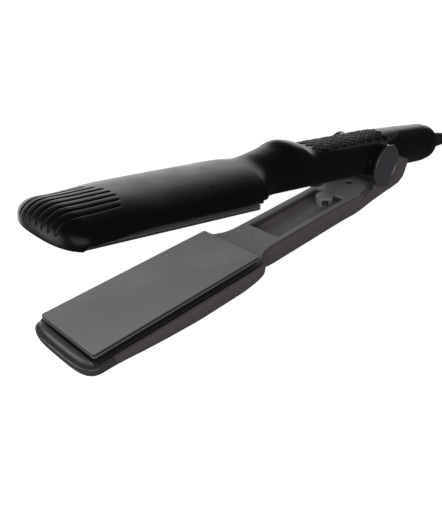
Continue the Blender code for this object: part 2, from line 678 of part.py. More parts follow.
def make_cord():
    """The cord in table coordinates: X as along the arms, Z up from the table."""
    outer = HANK_INNER + 3 * CORD_RADIUS
    front = HANK_START + outer
    rear = front + HANK_RUN
    top = 2 * CORD_RADIUS * HANK_LAYERS + 0.6
    x0, z0 = on_table(RELIEF_END + GAP, BARREL_Z)
    x1, z1 = on_table(RELIEF_END + 8, BARREL_Z)
    lead = [(x0, 0, z0), (x1, 0.3, z1), (338, 3.4, 3.6), (347, 8.6, 3.05), (357.5, 13.6, 3.05)]
    tube("cord_lead", rounded_route(lead, 16), CORD_RADIUS, "cord", "table")

    middle = (front + rear) / 2
    outline = []
    for i in range(13):
        turn = math.pi / 2 + math.pi * i / 12
        outline.append((front + outer * math.cos(turn), HANK_Y + outer * math.sin(turn)))
    for i in range(13):
        turn = -math.pi / 2 + math.pi * i / 12
        outline.append((rear + outer * math.cos(turn), HANK_Y + outer * math.sin(turn)))
    hank = add("cord_hank", loft([[(px, py, pz) for px, py in outline] for pz in (0, top)]), "cord", "table",
               (middle, HANK_Y, 0))
    combine(hank, box((middle - 6, middle + 6), (-90, 90), (-5, TIE_THICK + GAP)), pivot=(middle, HANK_Y, 0))
    tie_half = outer + GAP
    tie = add("cord_tie", rounded_box((middle - TIE_WIDTH / 2, middle + TIE_WIDTH / 2),
                                      (HANK_Y - tie_half - TIE_THICK, HANK_Y + tie_half + TIE_THICK),
                                      (0, top + GAP + TIE_THICK), 0.4, 2), "grip", "table", (middle, HANK_Y, 0))
    combine(tie, box((middle - 20, middle + 20), (HANK_Y - tie_half, HANK_Y + tie_half),
                     (TIE_THICK, top + GAP)), pivot=(middle, HANK_Y, 0))

    plug_z = top + 0.8 + 7.5
    relief_x = front + 38
    centre = (0, HANK_Y, plug_z)
    tail = [(rear - 20, HANK_Y - 3.2, top + CORD_RADIUS + 0.6), (rear - 28, HANK_Y - 1.2, plug_z - 1.4),
            (rear - 35, HANK_Y, plug_z), (relief_x + GAP, HANK_Y, plug_z)]
    tube("cord_tail", rounded_route(tail, 8), CORD_RADIUS, "cord", "table")
    add("plug_relief", turned([(relief_x, 3.3), (relief_x - 6, 3.8), (relief_x - 17.7, 5.6)], centre, "X", 20),
        "cord", "table", (relief_x, HANK_Y, plug_z))
    back = relief_x - 18
    body = add("plug_body", loft([
        [(back, HANK_Y + a * 8, plug_z + b * 6) for a, b in octagon()],
        [(back - 4, HANK_Y + a * 11.5, plug_z + b * 7.5) for a, b in octagon()],
        [(back - 30, HANK_Y + a * 12, plug_z + b * 7.5) for a, b in octagon()],
        [(back - 32, HANK_Y + a * 11.4, plug_z + b * 6.8) for a, b in octagon()]]), "cord", "table",
        (back, HANK_Y, plug_z))
    for name, y in (("plug_blade_near", -6.35), ("plug_blade_far", 6.35)):
        combine(body, box((back - 34, back - 25), (HANK_Y + y - 1.1, HANK_Y + y + 1.1),
                          (plug_z - 3.6, plug_z + 3.6)), pivot=(back, HANK_Y, plug_z))
        blade = box((back - 49, back - 25.3), (HANK_Y + y - 0.75, HANK_Y + y + 0.75), (plug_z - 3.2, plug_z + 3.2))
        add(name, blade, "blade", "table", (back, HANK_Y, plug_z))


def octagon(corner=0.45):
    """Unit outline of a block with cut corners."""
    return [(1, 1 - corner), (1 - corner, 1), (corner - 1, 1), (-1, 1 - corner),
            (-1, corner - 1), (corner - 1, -1), (1 - corner, -1), (1, corner - 1)]


def main():
    remove_everything()
    make_upper_shell()
    make_lower_shell()
    make_grip()
    make_upper_cover()
    make_lower_cover()
    make_screw("upper_cover_screw_front", 105, True)
    make_screw("upper_cover_screw_rear", 184, True)
    make_screw("lower_cover_screw_front", 107, False)
    make_screw("lower_cover_screw_rear", 197, False)
    make_post()
    make_head(True)
    make_head(False)
    make_sensors()
    make_controls()
    make_wiring()
    make_hinge()
    make_tail()
    make_cord()


main()
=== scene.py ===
"""Looks of the hair straightening iron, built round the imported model.

Arm coordinates are in millimetres: X runs from the plates' front edge to the cord end, Y across the arm, and
Z is the distance from the plane where the plates meet. Both arms are drawn in them and placed by arm_matrix.
The cord is drawn in table coordinates: the same X and Y, with Z up from the table.
"""
import json
from math import copysign, cos, exp, hypot, pi, radians, sin, sqrt

import bmesh
import bpy
from mathutils import Matrix, Vector


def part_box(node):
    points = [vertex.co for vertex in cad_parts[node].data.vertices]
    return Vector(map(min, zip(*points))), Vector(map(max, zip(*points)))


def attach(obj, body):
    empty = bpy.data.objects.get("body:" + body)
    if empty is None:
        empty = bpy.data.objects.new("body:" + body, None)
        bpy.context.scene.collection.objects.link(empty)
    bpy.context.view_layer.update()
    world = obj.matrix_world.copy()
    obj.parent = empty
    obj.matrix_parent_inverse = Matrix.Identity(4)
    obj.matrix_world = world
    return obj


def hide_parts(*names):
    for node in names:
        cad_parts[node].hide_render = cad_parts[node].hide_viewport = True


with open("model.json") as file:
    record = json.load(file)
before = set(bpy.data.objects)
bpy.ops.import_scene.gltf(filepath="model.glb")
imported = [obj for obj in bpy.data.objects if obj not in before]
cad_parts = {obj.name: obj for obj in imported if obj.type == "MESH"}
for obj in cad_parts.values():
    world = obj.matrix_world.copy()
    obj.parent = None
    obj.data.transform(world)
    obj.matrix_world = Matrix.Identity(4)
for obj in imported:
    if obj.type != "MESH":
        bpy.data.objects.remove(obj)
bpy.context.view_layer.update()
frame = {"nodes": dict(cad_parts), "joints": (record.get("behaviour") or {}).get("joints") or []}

# ---- Sizes, from the frame where it has them

MM = 0.001
JOINTS = {joint["name"]: joint for joint in frame["joints"]}
HINGE_WORLD = Vector(JOINTS["arm_hinge"]["pos_m"])
OPEN = radians(JOINTS["arm_hinge"]["range_deg"][1])
PLATE_LOW, PLATE_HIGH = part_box("lower_plate")
PLATE_LENGTH = (PLATE_HIGH.x - PLATE_LOW.x) / MM
PLATE_HALF = (PLATE_HIGH.y - PLATE_LOW.y) / MM / 2
PLATE_FACE = 0.2
TABLE_DEPTH = PLATE_HIGH.z / MM + PLATE_FACE
HINGE_X = (HINGE_WORLD.x - PLATE_LOW.x) / MM
HINGE_Z = HINGE_WORLD.z / MM - TABLE_DEPTH
MIDDLE_X = -PLATE_LOW.x / MM

# Depths from the plane where the plates meet, and the casings' thickness.
WALL = 2.0
HEAD_RIM = 4.4
UPPER_RIM = 2.9
HANDLE_FACE = 3.0
COVER_FACE = HANDLE_FACE + 0.35
COVER_THICK = 1.5

# A section is a superellipse: it has a depth where it is widest, and powers for its outer and inner sides.
HEAD_HALF = 22.19
HEAD_WIDEST = 7.6
HANDLE_WIDEST = 8.0
HEAD_POWER = 2.1
HANDLE_POWER = 2.5
LOWER_POWER = 2.7
INNER_POWER = 4.5
FLAT_POWER = 9.0
HEAD_END = 97.0
NECK = 104.0
TAIL_START = 200.0

# The noses: where they start, then each one's length, power in plan and depth where it is widest.
NOSE_START = 4.7
NOSE_LENGTH = 10.5
NOSE_POWER = 3.8
NOSE_WIDEST = 5.8
UPPER_NOSE_LENGTH = 11.4
UPPER_NOSE_POWER = 2.6
UPPER_NOSE_WIDEST = 3.3
UPPER_NOSE_RIM = 0.4
# NOSE_SEAM is where the lower nose's seam runs; the casing in front of it is painted darker as shade.
NOSE_SEAM = 7.0

# The hinge's ears and caps. A cutter that runs to OUTSIDE comes out of the casing's side.
EAR_FRONT = 187.0
EAR_START = 192.0
EAR_IN = 12.9
EAR_OUT = 16.4
EAR_DISC = 12.0
EAR_WRAP = 28.0
EAR_GAP = 0.5
PIN_RADIUS = 3.0
BUSHING_BORE = 5.2
CAP_RADIUS = 12.4
CAP_SEAT = 11.3
CAP_FACE = 18.1
CAP_DISH = 1.6
OUTSIDE = 22.0

# The barrel, the swivel and the strain relief.
BARREL_RADIUS = 12.4
BARREL_Z = 12.9
BARREL_CENTRE = (0, 0, BARREL_Z)
BARREL_START = 236.0
BARREL_END = 270.0
RING_END = 283.0
SLEEVE_END = 291.0
RELIEF_END = 322.0
RELIEF_RIBS = 7

# The lower handle's pocket and post, the holes in the upper cover and the covers' screws.
POCKET_X = (118.5, 177.5)
POCKET_HALF = 10.4
POCKET_DEPTH = 8.1
POCKET_ROUND = 1.2
TRAY_WALL = 1.2
POST_X = 172.0
POST_RADIUS = 4.9
POST_TURN = 44.0
ROCKER_X = (122.7, 139.3)
ROCKER_HALF = 5.9
LENS_X = 143.5
LENS_HOLE = 1.7
DIAL_X = 157.0
DIAL_HOLE = 8.5
SCREW_XS = {"upper": (105, 184), "lower": (107, 197)}
SCREW_WELL = 2.4

# Half width, crown height and inner depth along the arms; the heads are as wide as each other.
HEAD_WIDTH = [(2, HEAD_HALF), (88, HEAD_HALF), (95, 21.6), (100, 18.4), (105, 16.0), (112, 15.0)]
UPPER_WIDTH = HEAD_WIDTH + [(186, 14.6), (198, 14.0), (207, 13.2), (216, 12.5),
                            (BARREL_START, BARREL_RADIUS), (BARREL_END, BARREL_RADIUS)]
UPPER_CROWN = [(2, 12.0), (22, 12.9), (60, 15.2), (90, 16.8), (102, 17.5), (111, 19.7), (121, 22.4),
               (128, 24.9), (135, 24.3), (144, 21.2), (155, 21.8), (170, 22.4), (190, 23.3), (212, 24.7),
               (BARREL_START, BARREL_Z + BARREL_RADIUS), (BARREL_END, BARREL_Z + BARREL_RADIUS)]
UPPER_INNER = [(2, UPPER_RIM), (80, UPPER_RIM), (89, HEAD_RIM), (97.4, HEAD_RIM), (99.4, HANDLE_FACE),
               (TAIL_START, HANDLE_FACE), (214, 2.4), (225, 1.2),
               (BARREL_START, BARREL_Z - BARREL_RADIUS), (BARREL_END, BARREL_Z - BARREL_RADIUS)]
LOWER_WIDTH = HEAD_WIDTH + [(170, 15.2), (EAR_START, EAR_OUT), (222, EAR_OUT)]
LOWER_CROWN = [(2, 12.4), (22, 14.6), (44, 17.4), (56, 18.5), (80, 18.5), (91, 16.6), (98, 14.6),
               (102, 15.0), (109, 18.0), (114, 18.6), (180, 18.5), (198, 15.4), (212, 13.4), (222, 11.5)]
LOWER_INNER = [(2, HEAD_RIM), (97.4, HEAD_RIM), (99.4, HANDLE_FACE), (222, HANDLE_FACE)]

# The moulded grooves on the upper nose.
GROOVE_YS = [-12, -8, -4, 0, 4, 8, 12]
GROOVE_END = 25.0
GROOVE_REACH = 2.0

# The cord, its hank and tie, and the plug.
CORD_RADIUS = 3.0
HANK_FRONT = 377.0
HANK_REAR = 457.0
HANK_Y = -10.0
HANK_INNER = 18.0
TIE_Z = (0.95, 19.25)
TIE_HALF = 5.0
TIE_THICK = 0.9
PLUG_Z = 26.9
RELIEF_X = 415.0
BLADE_Y = 6.35

# Edges that turn further than this stay sharp, and anything finer than a sliver is cleaned away.
SMOOTH_ANGLE = 32
SLIVER = 0.004


# ---- Placing


def arm_matrix(arm):
    """World matrix of an arm's coordinates, or of table coordinates."""
    if arm == "table":
        return Matrix.Translation((-MIDDLE_X * MM, 0, 0)) @ Matrix.Scale(MM, 4)
    turn = Matrix.Rotation(OPEN, 4, "Y") if arm == "upper" else Matrix.Scale(-1, 4, (0, 0, 1))
    depth = HINGE_Z if arm == "upper" else -HINGE_Z
    return (Matrix.Translation(HINGE_WORLD) @ turn @ Matrix.Scale(MM, 4)
            @ Matrix.Translation((-HINGE_X, 0, -depth)))


def new_object(name, data):
    """An object in the scene that holds this data."""
    made = bpy.data.objects.new(name, data)
    bpy.context.scene.collection.objects.link(made)
    return made


def fill(mesh, shape):
    """Put a bmesh in a mesh and shade it."""
    shape.to_mesh(mesh)
    shape.free()
    mesh.shade_smooth()
    mesh.set_sharp_from_angle(angle=radians(SMOOTH_ANGLE))


def object_from(name, shape, arm):
    """An object from a bmesh in an arm's coordinates, with its mesh in world coordinates."""
    bmesh.ops.remove_doubles(shape, verts=shape.verts, dist=1e-4)
    bmesh.ops.transform(shape, matrix=arm_matrix(arm), verts=shape.verts)
    bmesh.ops.recalc_face_normals(shape, faces=shape.faces)
    if shape.calc_volume(signed=True) < 0:
        bmesh.ops.reverse_faces(shape, faces=shape.faces)
    mesh = bpy.data.meshes.new(name)
    fill(mesh, shape)
    return new_object(name, mesh)


def combine(target, shape, arm, operation="DIFFERENCE"):
    """Cut a shape from an object, or join it on."""
    guide = object_from("guide", shape, arm)
    step = target.modifiers.new("combine", "BOOLEAN")
    step.operation = operation
    step.solver = "EXACT"
    step.object = guide


def settle(target):
    """Apply an object's cuts and joins, remove their guides and slivers, and shade the result."""
    graph = bpy.context.evaluated_depsgraph_get()
    mesh = bpy.data.meshes.new_from_object(target.evaluated_get(graph))
    guides = [step.object for step in target.modifiers]
    target.modifiers.clear()
    old, target.data = target.data, mesh
    bpy.data.meshes.remove(old)
    for guide in guides:
        bpy.data.objects.remove(guide, do_unlink=True)
    shape = bmesh.new()
    shape.from_mesh(mesh)
    bmesh.ops.dissolve_degenerate(shape, dist=SLIVER * MM, edges=shape.edges)
    fill(mesh, shape)


def soften(target, width):
    """Round an object's edges by a width in millimetres."""
    step = target.modifiers.new("soften", "BEVEL")
    step.width = width * MM
    step.segments = 2
    step.limit_method = "ANGLE"
    step.angle_limit = radians(35)
    step.harden_normals = True


def dress(target, body, paint, slot_name, *nodes):
    """Give a piece its material, its body and the nodes that it stands for; the slot name is not used."""
    target.data.materials.clear()
    target.data.materials.append(paint)
    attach(target, body)
    if nodes:
        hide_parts(*nodes)
    return target


def repaint(target, paint, chosen):
    """Give some faces of a piece another material."""
    target.data.materials.append(paint)
    for face in target.data.polygons:
        if chosen(face):
            face.material_index = len(target.data.materials) - 1


def stands_along_z(arm):
    """A test for the faces that stand along an arm's Z, such as a plate's edges and a pocket's walls, which
    get painted shade.
    """
    facing = (arm_matrix(arm).to_3x3() @ Vector((0, 0, 1))).normalized()
    return lambda face: abs(face.normal.dot(facing)) < 0.8


# ---- Shapes


def loft(rings, first_cap=True, hoop=False):
    """A body through rings of equally many points, closed at its ends, or a hoop, joined end to end."""
    shape = bmesh.new()
    rows = [[shape.verts.new(point) for point in ring] for ring in rings]
    for near, far in zip(rows, rows[1:] + rows[:1] if hoop else rows[1:]):
        for i in range(len(near)):
            j = (i + 1) % len(near)
            shape.faces.new((near[i], near[j], far[j], far[i]))
    if first_cap and not hoop:
        shape.faces.new(rows[0])
    if not hoop:
        shape.faces.new(rows[-1])
    return shape


def box(x, y, z):
    """A box between two ends on each axis."""
    low, high = zip(sorted(x), sorted(y), sorted(z))
    corners = [(low[0], low[1]), (high[0], low[1]), (high[0], high[1]), (low[0], high[1])]
    return loft([[(cx, cy, cz) for cx, cy in corners] for cz in (low[2], high[2])])


def arc(centre, radius, start, end, steps):
    """Points along an arc from one angle in degrees to another."""
    return [(centre[0] + radius * cos(radians(start + (end - start) * i / steps)),
             centre[1] + radius * sin(radians(start + (end - start) * i / steps)))
            for i in range(steps + 1)]


def rounded_outline(x, y, radius, steps=8):
    """A rectangle with round corners."""
    centres = ((x[1] - radius, y[1] - radius), (x[0] + radius, y[1] - radius),
               (x[0] + radius, y[0] + radius), (x[1] - radius, y[0] + radius))
    return [point for quarter, centre in enumerate(centres)
            for point in arc(centre, radius, 90 * quarter, 90 * quarter + 90, steps)]


def rounded_box(x, y, z, radius):
    """A box whose edges along Z are round."""
    return loft([[(px, py, pz) for px, py in rounded_outline(x, y, radius)] for pz in z])


def prism_across(outline, y0, y1):
    """An outline in X and Z, drawn out across the arm."""
    return loft([[(px, y, pz) for px, pz in outline] for y in (y0, y1)])


def turned(profile, centre, axis, segments=96):
    """A solid of revolution from a list of (distance along the axis, radius)."""
    along = "XYZ".index(axis)
    side, up = [i for i in range(3) if i != along]
    rings = []
    for distance, radius in profile:
        ring = []
        for i in range(segments):
            turn = 2 * pi * i / segments
            point = [0.0, 0.0, 0.0]
            point[along] = distance
            point[side] = centre[side] + radius * cos(turn)
            point[up] = centre[up] + radius * sin(turn)
            ring.append(tuple(point))
        rings.append(ring)
    return loft(rings)


def cylinder(radius, start, end, centre, axis, segments=96):
    return turned([(start, radius), (end, radius)], centre, axis, segments)


def smooth_curve(stations, x):
    """A value between stations, with no overshoot."""
    if x <= stations[0][0]:
        return stations[0][1]
    if x >= stations[-1][0]:
        return stations[-1][1]
    k = max(i for i, (start, _) in enumerate(stations) if start <= x)
    slopes = [(b[1] - a[1]) / (b[0] - a[0]) for a, b in zip(stations, stations[1:])]

    def tangent(i):
        if i in (0, len(stations) - 1):
            return 0.0
        before, after = slopes[i - 1], slopes[i]
        return 0.0 if before * after <= 0 else 2 * before * after / (before + after)

    (x0, y0), (x1, y1) = stations[k], stations[k + 1]
    span = x1 - x0
    t = (x - x0) / span
    return (y0 * (1 + 2 * t) * (1 - t) ** 2 + y1 * t * t * (3 - 2 * t)
            + span * (tangent(k) * t * (1 - t) ** 2 - tangent(k + 1) * t * t * (1 - t)))


def ramp(x, start, end, a=0.0, b=1.0):
    """From a to b as x goes from start to end, with soft ends."""
    t = min(max((x - start) / (end - start), 0.0), 1.0)
    return a + (b - a) * t * t * (3 - 2 * t)


def span(start, end, step):
    """Evenly spaced values from start to end, about a step apart."""
    count = max(1, round(abs(end - start) / step))
    return [start + (end - start) * i / count for i in range(count + 1)]


def bulge(share, power):
    """Height of a superellipse at a share of its half width, as a share of its full height."""
    return max(0.0, 1 - abs(share) ** power) ** (1 / power)


def signed_power(value, power):
    return copysign(abs(value) ** power, value)


# ---- The arms' outer surface and their hollows


def section(x, upper):
    """Half width, crown, inner face, widest depth and the outer and inner powers of a section."""
    if upper:
        width, crown, inner, nose_widest = UPPER_WIDTH, UPPER_CROWN, UPPER_INNER, UPPER_NOSE_WIDEST
    else:
        width, crown, inner, nose_widest = LOWER_WIDTH, LOWER_CROWN, LOWER_INNER, NOSE_WIDEST
    widest = ramp(x, HEAD_END, NECK, ramp(x, NOSE_START, 34, nose_widest, HEAD_WIDEST), HANDLE_WIDEST)
    outer_power, inner_power = LOWER_POWER, INNER_POWER
    if upper:
        outer_power = ramp(x, NECK, 140, HEAD_POWER, HANDLE_POWER)
        widest = ramp(x, TAIL_START, BARREL_START, widest, BARREL_Z)
        outer_power = ramp(x, TAIL_START, BARREL_START, outer_power, 2.0)
        inner_power = ramp(x, TAIL_START, BARREL_START, inner_power, 2.0)
    return (smooth_curve(width, x), smooth_curve(crown, x), smooth_curve(inner, x), widest, outer_power,
            inner_power)


def height_at(x, y):
    """Height of the upper arm's outer surface behind the nose."""
    half, crown, _, widest, power, _ = section(x, True)
    return widest + (crown - widest) * bulge(y / half, power)


def groove_depth(y, x, lift):
    """Depth of the nose's grooves at a point; lift is its height as a share of the crown's."""
    nearest = min(GROOVE_YS, key=lambda centre: abs(centre - y))
    away = abs(y - nearest)
    if away > GROOVE_REACH:
        return 0.0
    end = GROOVE_END - 4.0 * (nearest / GROOVE_YS[-1]) ** 2
    along = ramp(x, end + 0.5, end - 0.6) * ramp(lift, 0.16, 0.24) * ramp(x, -6, 6, 0.5, 1)
    return along * (0.7 * exp(-(away / 0.4) ** 2) + 0.1 * (1 - ramp(away, 0, 1.6)))


def columns(grooved):
    """Positions across the outer side, as shares of the half width, from +1 to -1."""
    angles = [-90, -89.4, -88.5] + span(-87, 87, 3) + [88.5, 89.4, 90]
    shares = [sin(radians(a)) for a in angles]
    if grooved:
        offsets = (-1.9, -1.4, -1.0, -0.7, -0.5, -0.32, -0.16, 0, 0.16, 0.32, 0.5, 0.7, 1.0, 1.4, 1.9)
        fine = [(centre + offset) / HEAD_HALF for centre in GROOVE_YS for offset in offsets]
        fine = [(centre + offset) / HEAD_HALF for centre in GROOVE_YS for offset in offsets]
        reach = (GROOVE_YS[-1] + GROOVE_REACH + 0.1) / HEAD_HALF
        shares = [s for s in shares if abs(s) > reach] + fine
    return sorted(shares, reverse=True)


def nose_plan(upper):
    """Length of a nose in front of where it starts, and the power of its outline in plan."""
    return (UPPER_NOSE_LENGTH, UPPER_NOSE_POWER) if upper else (NOSE_LENGTH, NOSE_POWER)


def nose_ring(degrees, shares, upper):
    """One loop round the nose; 0 degrees is where the nose starts and 90 its outline in plan."""
    half, crown, inner, widest, outer_power, inner_power = section(NOSE_START, upper)
    length, plan = nose_plan(upper)
    ring = []
    for outer, group in ((True, shares), (False, shares[-2:0:-1])):
        power = outer_power if outer else FLAT_POWER if upper else inner_power
        reach = crown - widest if outer else inner - widest
        for share in group:
            forward = bulge(share, plan) * sin(radians(degrees))
            out = min(1.0, (forward ** plan + abs(share) ** plan) ** (1 / plan))
            if upper and not outer:  # the nose hangs in front of the plate, down to its face
                reach = ramp(forward, 0.32, 0.42, inner, UPPER_NOSE_RIM) - widest
            lift = bulge(out, power)
            point = Vector((NOSE_START - length * forward, half * share, widest + reach * lift))
            if outer and upper:
                normal = Vector((-(forward ** (plan - 1)) / length,
                                 signed_power(share, plan - 1) / half,
                                 max(lift, 0.02) ** (power - 1) / reach))
                point -= normal.normalized() * groove_depth(point.y, point.x, lift)
            ring.append(tuple(point))
    return ring


def arm_skin(upper):
    """The outer form of an arm as a closed body."""
    shares = columns(upper)
    rings = [nose_ring(degrees, shares, upper) for degrees in span(90, 3, 3.4)]
    stations = [NOSE_START] + span(NOSE_START + 0.4, 27, 0.45 if upper else 2.5)
    stations += span(29, 87, 2.9) + span(88, 114, 1.0) + span(116, 200, 2.0)
    stations += span(203, 268, 2.6) + [BARREL_END - 0.5, BARREL_END] if upper else span(203, 222, 2.4)
    for x in stations:
        half, crown, inner, widest, outer_power, inner_power = section(x, upper)
        ring = []
        for share in shares:
            lift = bulge(share, outer_power)
            z = widest + (crown - widest) * lift
            if upper and x < GROOVE_END + 1:
                z -= groove_depth(half * share, x, max(lift, 0.2))
            ring.append((x, half * share, z if upper else min(z, TABLE_DEPTH)))
        for share in shares[-2:0:-1]:
            ring.append((x, half * share, widest + (inner - widest) * bulge(share, inner_power)))
        rings.append(ring)
    return loft(rings, first_cap=False)


def arm_cavity(upper):
    """The hollow of an arm, open through its inner side up to the hinge."""
    turns = span(3.75, 363.75, 7.5)[:-1]
    beyond = -3.0
    rings = []

    def ring_at(x, half, low, high, widest, outer_power, inner_power):
        ring = []
        for degrees in turns:
            across, out = cos(radians(degrees)), sin(radians(degrees))
            power = outer_power if out > 0 else inner_power
            reach = high - widest if out > 0 else widest - low
            ring.append((x, half * signed_power(across, 2 / power),
                         widest + reach * signed_power(out, 2 / power)))
        return ring

    _, crown, _, widest, power, _ = section(NOSE_START, upper)
    length, plan = nose_plan(upper)
    for degrees in (8, 16, 26, 38, 50, 64, 78):
        forward = cos(radians(degrees)) ** (2 / plan)
        across = sin(radians(degrees)) ** (2 / plan)
        rings.append(ring_at(NOSE_START - (length - WALL) * forward, (HEAD_HALF - WALL) * across, beyond,
                             crown - WALL - 3.0 * forward ** 2, widest, power - 0.1, FLAT_POWER))
    stations = span(6, 88, 6) + span(90, 114, 2) + span(118, 188, 5)
    if upper:
        stations += [EAR_START, 194, 198, 203, 208, 214, 220, 228, BARREL_START, BARREL_END + 5]
    else:
        stations += [EAR_START, 200, 205]
    for x in stations:
        half, crown, inner, widest, outer_power, inner_power = section(x, upper)
        half -= WALL
        low = beyond
        if upper and x > EAR_START:
            low, half = inner + WALL, min(half, 10.4)
        else:
            inner_power = FLAT_POWER
        if not upper and x >= EAR_START:
            half = EAR_IN - 0.1
        rings.append(ring_at(x, half, low, crown - WALL, widest, outer_power, inner_power))
    return loft(rings)


def hinge_cylinder(radius, y0, y1, upper, segments=96):
    """A cylinder round the hinge's axis, in an arm's coordinates."""
    return cylinder(radius, y0, y1, (HINGE_X, 0, HINGE_Z if upper else -HINGE_Z), "Y", segments)


# ---- Materials


def set_inputs(node, values):
    for socket, value in values.items():
        node.inputs[socket].default_value = value


def paint(name, colour, roughness, metallic=0.0, mottle=0.05, patch=0.01, grain=0.0005, relief=0.2,
          wear=0.06, coat=0.0, coat_roughness=0.1, specular=0.5, sheen=0.0, brushed=0.0, streak=0.0):
    """A moulded or metal surface: colour in soft patches, a fine grain in the relief, uneven gloss and light
    scuffs. Lengths are in metres: patch is the size of the colour patches, grain that of the texture, and
    streak, where there is one, the width of fine lines that take the grain's place."""
    made = bpy.data.materials.new(name)
    made.use_nodes = True
    nodes, links = made.node_tree.nodes, made.node_tree.links
    shader = nodes["Principled BSDF"]
    set_inputs(shader, {"Metallic": metallic, "Coat Weight": coat, "Coat Roughness": coat_roughness,
                        "Specular IOR Level": specular, "Sheen Weight": sheen, "Anisotropic": brushed})
    place = nodes.new("ShaderNodeTexCoord").outputs["Object"]

    def noise(size, detail, rough=0.5, where=place):
        texture = nodes.new("ShaderNodeTexNoise")
        set_inputs(texture, {"Scale": 1 / size, "Detail": detail, "Roughness": rough})
        links.new(where, texture.inputs["Vector"])
        return texture.outputs["Fac"]

    def remap(value, low, high, start=0.3, end=0.7):
        change = nodes.new("ShaderNodeMapRange")
        set_inputs(change, {"From Min": start, "From Max": end, "To Min": low, "To Max": high})
        links.new(value, change.inputs["Value"])
        return change.outputs["Result"]

    def mixed(fac, a, b):
        mix = nodes.new("ShaderNodeMix")
        mix.data_type = "RGBA"
        links.new(fac, mix.inputs["Factor"])
        for socket, value in ((mix.inputs["A"], a), (mix.inputs["B"], b)):
            if isinstance(value, tuple):
                socket.default_value = value
            else:
                links.new(value, socket)
        return mix.outputs["Result"]

    def shade(factor):
        return (*[min(1.0, channel * factor) for channel in colour], 1.0)

    base = mixed(remap(noise(patch, 3), 0, 1), shade(1 - mottle), shade(1 + mottle))
    specks = remap(noise(grain * 4, 6, 0.7), 0, 1, 0.62, 0.78)
    scuffed = mixed(specks, base, (*[channel * (1 - wear) + 0.35 * wear for channel in colour], 1.0))
    links.new(scuffed, shader.inputs["Base Color"])
    uneven = remap(noise(patch * 0.6, 4, 0.6), max(0.02, roughness * 0.86), min(1.0, roughness * 1.16))
    links.new(uneven, shader.inputs["Roughness"])
    if streak:
        drawn_out = nodes.new("ShaderNodeMapping")
        drawn_out.inputs["Scale"].default_value = (0.03, 1.0, 1.0)
        links.new(place, drawn_out.inputs["Vector"])
        height = noise(streak, 3, where=drawn_out.outputs["Vector"])
    else:
        height = noise(grain, 2, 0.6)
    bump = nodes.new("ShaderNodeBump")
    set_inputs(bump, {"Strength": relief, "Distance": grain * 0.2})
    links.new(height, bump.inputs["Height"])
    links.new(bump.outputs["Normal"], shader.inputs["Normal"])
    return made


SATIN_BLACK = paint("satin_black", (0.0036, 0.0036, 0.0038), 0.31, mottle=0.1, patch=0.02, grain=0.00045,
                    wear=0.006, specular=0.18)
GRIP_BLACK = paint("grip_black", (0.03, 0.03, 0.0305), 0.34, mottle=0.1, patch=0.006, grain=0.0004,
                   relief=0.3, wear=0.01)
LOZENGE = paint("grip_lozenge", (0.005, 0.005, 0.0053), 0.5, mottle=0.1, patch=0.006, grain=0.0004,
                relief=0.3, wear=0.008, specular=0.12)
CHARCOAL = paint("gloss_charcoal", (0.12, 0.105, 0.102), 0.26, patch=0.03, grain=0.0008, relief=0.06,
                 wear=0.02, coat=0.2, coat_roughness=0.12)
FLAT_GREY = paint("flat_grey", (0.25, 0.242, 0.248), 0.38, patch=0.02, wear=0.05)
POCKET_GREY = paint("pocket_grey", (0.24, 0.215, 0.238), 0.45, mottle=0.08, wear=0.05)
# A darker charcoal that paints shade on the lower nose.
NOSE_PAINTED_SHADE = paint("nose_painted_shade", (0.062, 0.057, 0.057), 0.28, patch=0.03, grain=0.0008, relief=0.06,
                      wear=0.02, coat=0.2, coat_roughness=0.12)
# Painted shade for the pocket's walls and the post's slot.
POCKET_WALL_SHADE = paint("pocket_wall_shade", (0.07, 0.06, 0.068), 0.45, mottle=0.08)
CERAMIC = paint("plate_coat", (0.34, 0.334, 0.326), 0.62, mottle=0.02, patch=0.03, grain=0.0004, relief=0.04,
                wear=0.0, specular=0.2, streak=0.0009)
# Painted shade for the plates' edges.
PLATE_EDGE_SHADE = paint("plate_edge_shade", (0.045, 0.042, 0.044), 0.45, mottle=0.06, patch=0.02, grain=0.0004,
                   relief=0.1)
DARK_SEAT = paint("plate_seat", (0.022, 0.02, 0.021), 0.5, mottle=0.1, patch=0.008)
INSERT_GREY = paint("nose_insert", (0.062, 0.06, 0.059), 0.5, mottle=0.04, grain=0.0006, relief=0.08,
                    coat=0.2)
CAP_GREY = paint("cap_grey", (0.062, 0.056, 0.066), 0.3, relief=0.08, coat=0.25, coat_roughness=0.15)
CONTROL_BLACK = paint("control_black", (0.016, 0.016, 0.016), 0.4, mottle=0.1, patch=0.004, grain=0.0003,
                      relief=0.25)
STEEL = paint("bright_steel", (0.55, 0.55, 0.54), 0.28, metallic=1.0, mottle=0.06, patch=0.003, grain=0.0002,
              relief=0.1, brushed=0.3, streak=0.0003)
HEATER = paint("heater_ceramic", (0.74, 0.7, 0.62), 0.6, patch=0.004, grain=0.0003, relief=0.3)
SILICONE = paint("silicone", (0.55, 0.3, 0.12), 0.5, mottle=0.08, patch=0.004, grain=0.0004)
LAMINATE = paint("laminate", (0.025, 0.13, 0.05), 0.4, mottle=0.15, patch=0.003, grain=0.0004, relief=0.1)
WIRE_RED = paint("wire_red", (0.45, 0.04, 0.03), 0.45, mottle=0.08, patch=0.004, grain=0.0003, relief=0.1)
CORD_BLACK = paint("cord_black", (0.011, 0.011, 0.011), 0.44, mottle=0.12, relief=0.3, wear=0.03,
                   specular=0.4)
STRAP = paint("tie_weave", (0.016, 0.016, 0.017), 0.8, mottle=0.2, patch=0.001, relief=0.8, sheen=0.3)
LENS = paint("lens_red", (0.42, 0.03, 0.02), 0.08, mottle=0.04, patch=0.002, grain=0.0004, relief=0.03,
             coat=0.6)
BRASS = paint("blade_brass", (0.68, 0.56, 0.3), 0.24, metallic=1.0, mottle=0.06, patch=0.004, grain=0.0003,
              relief=0.1, streak=0.0004)


# ---- Camera, light and floor


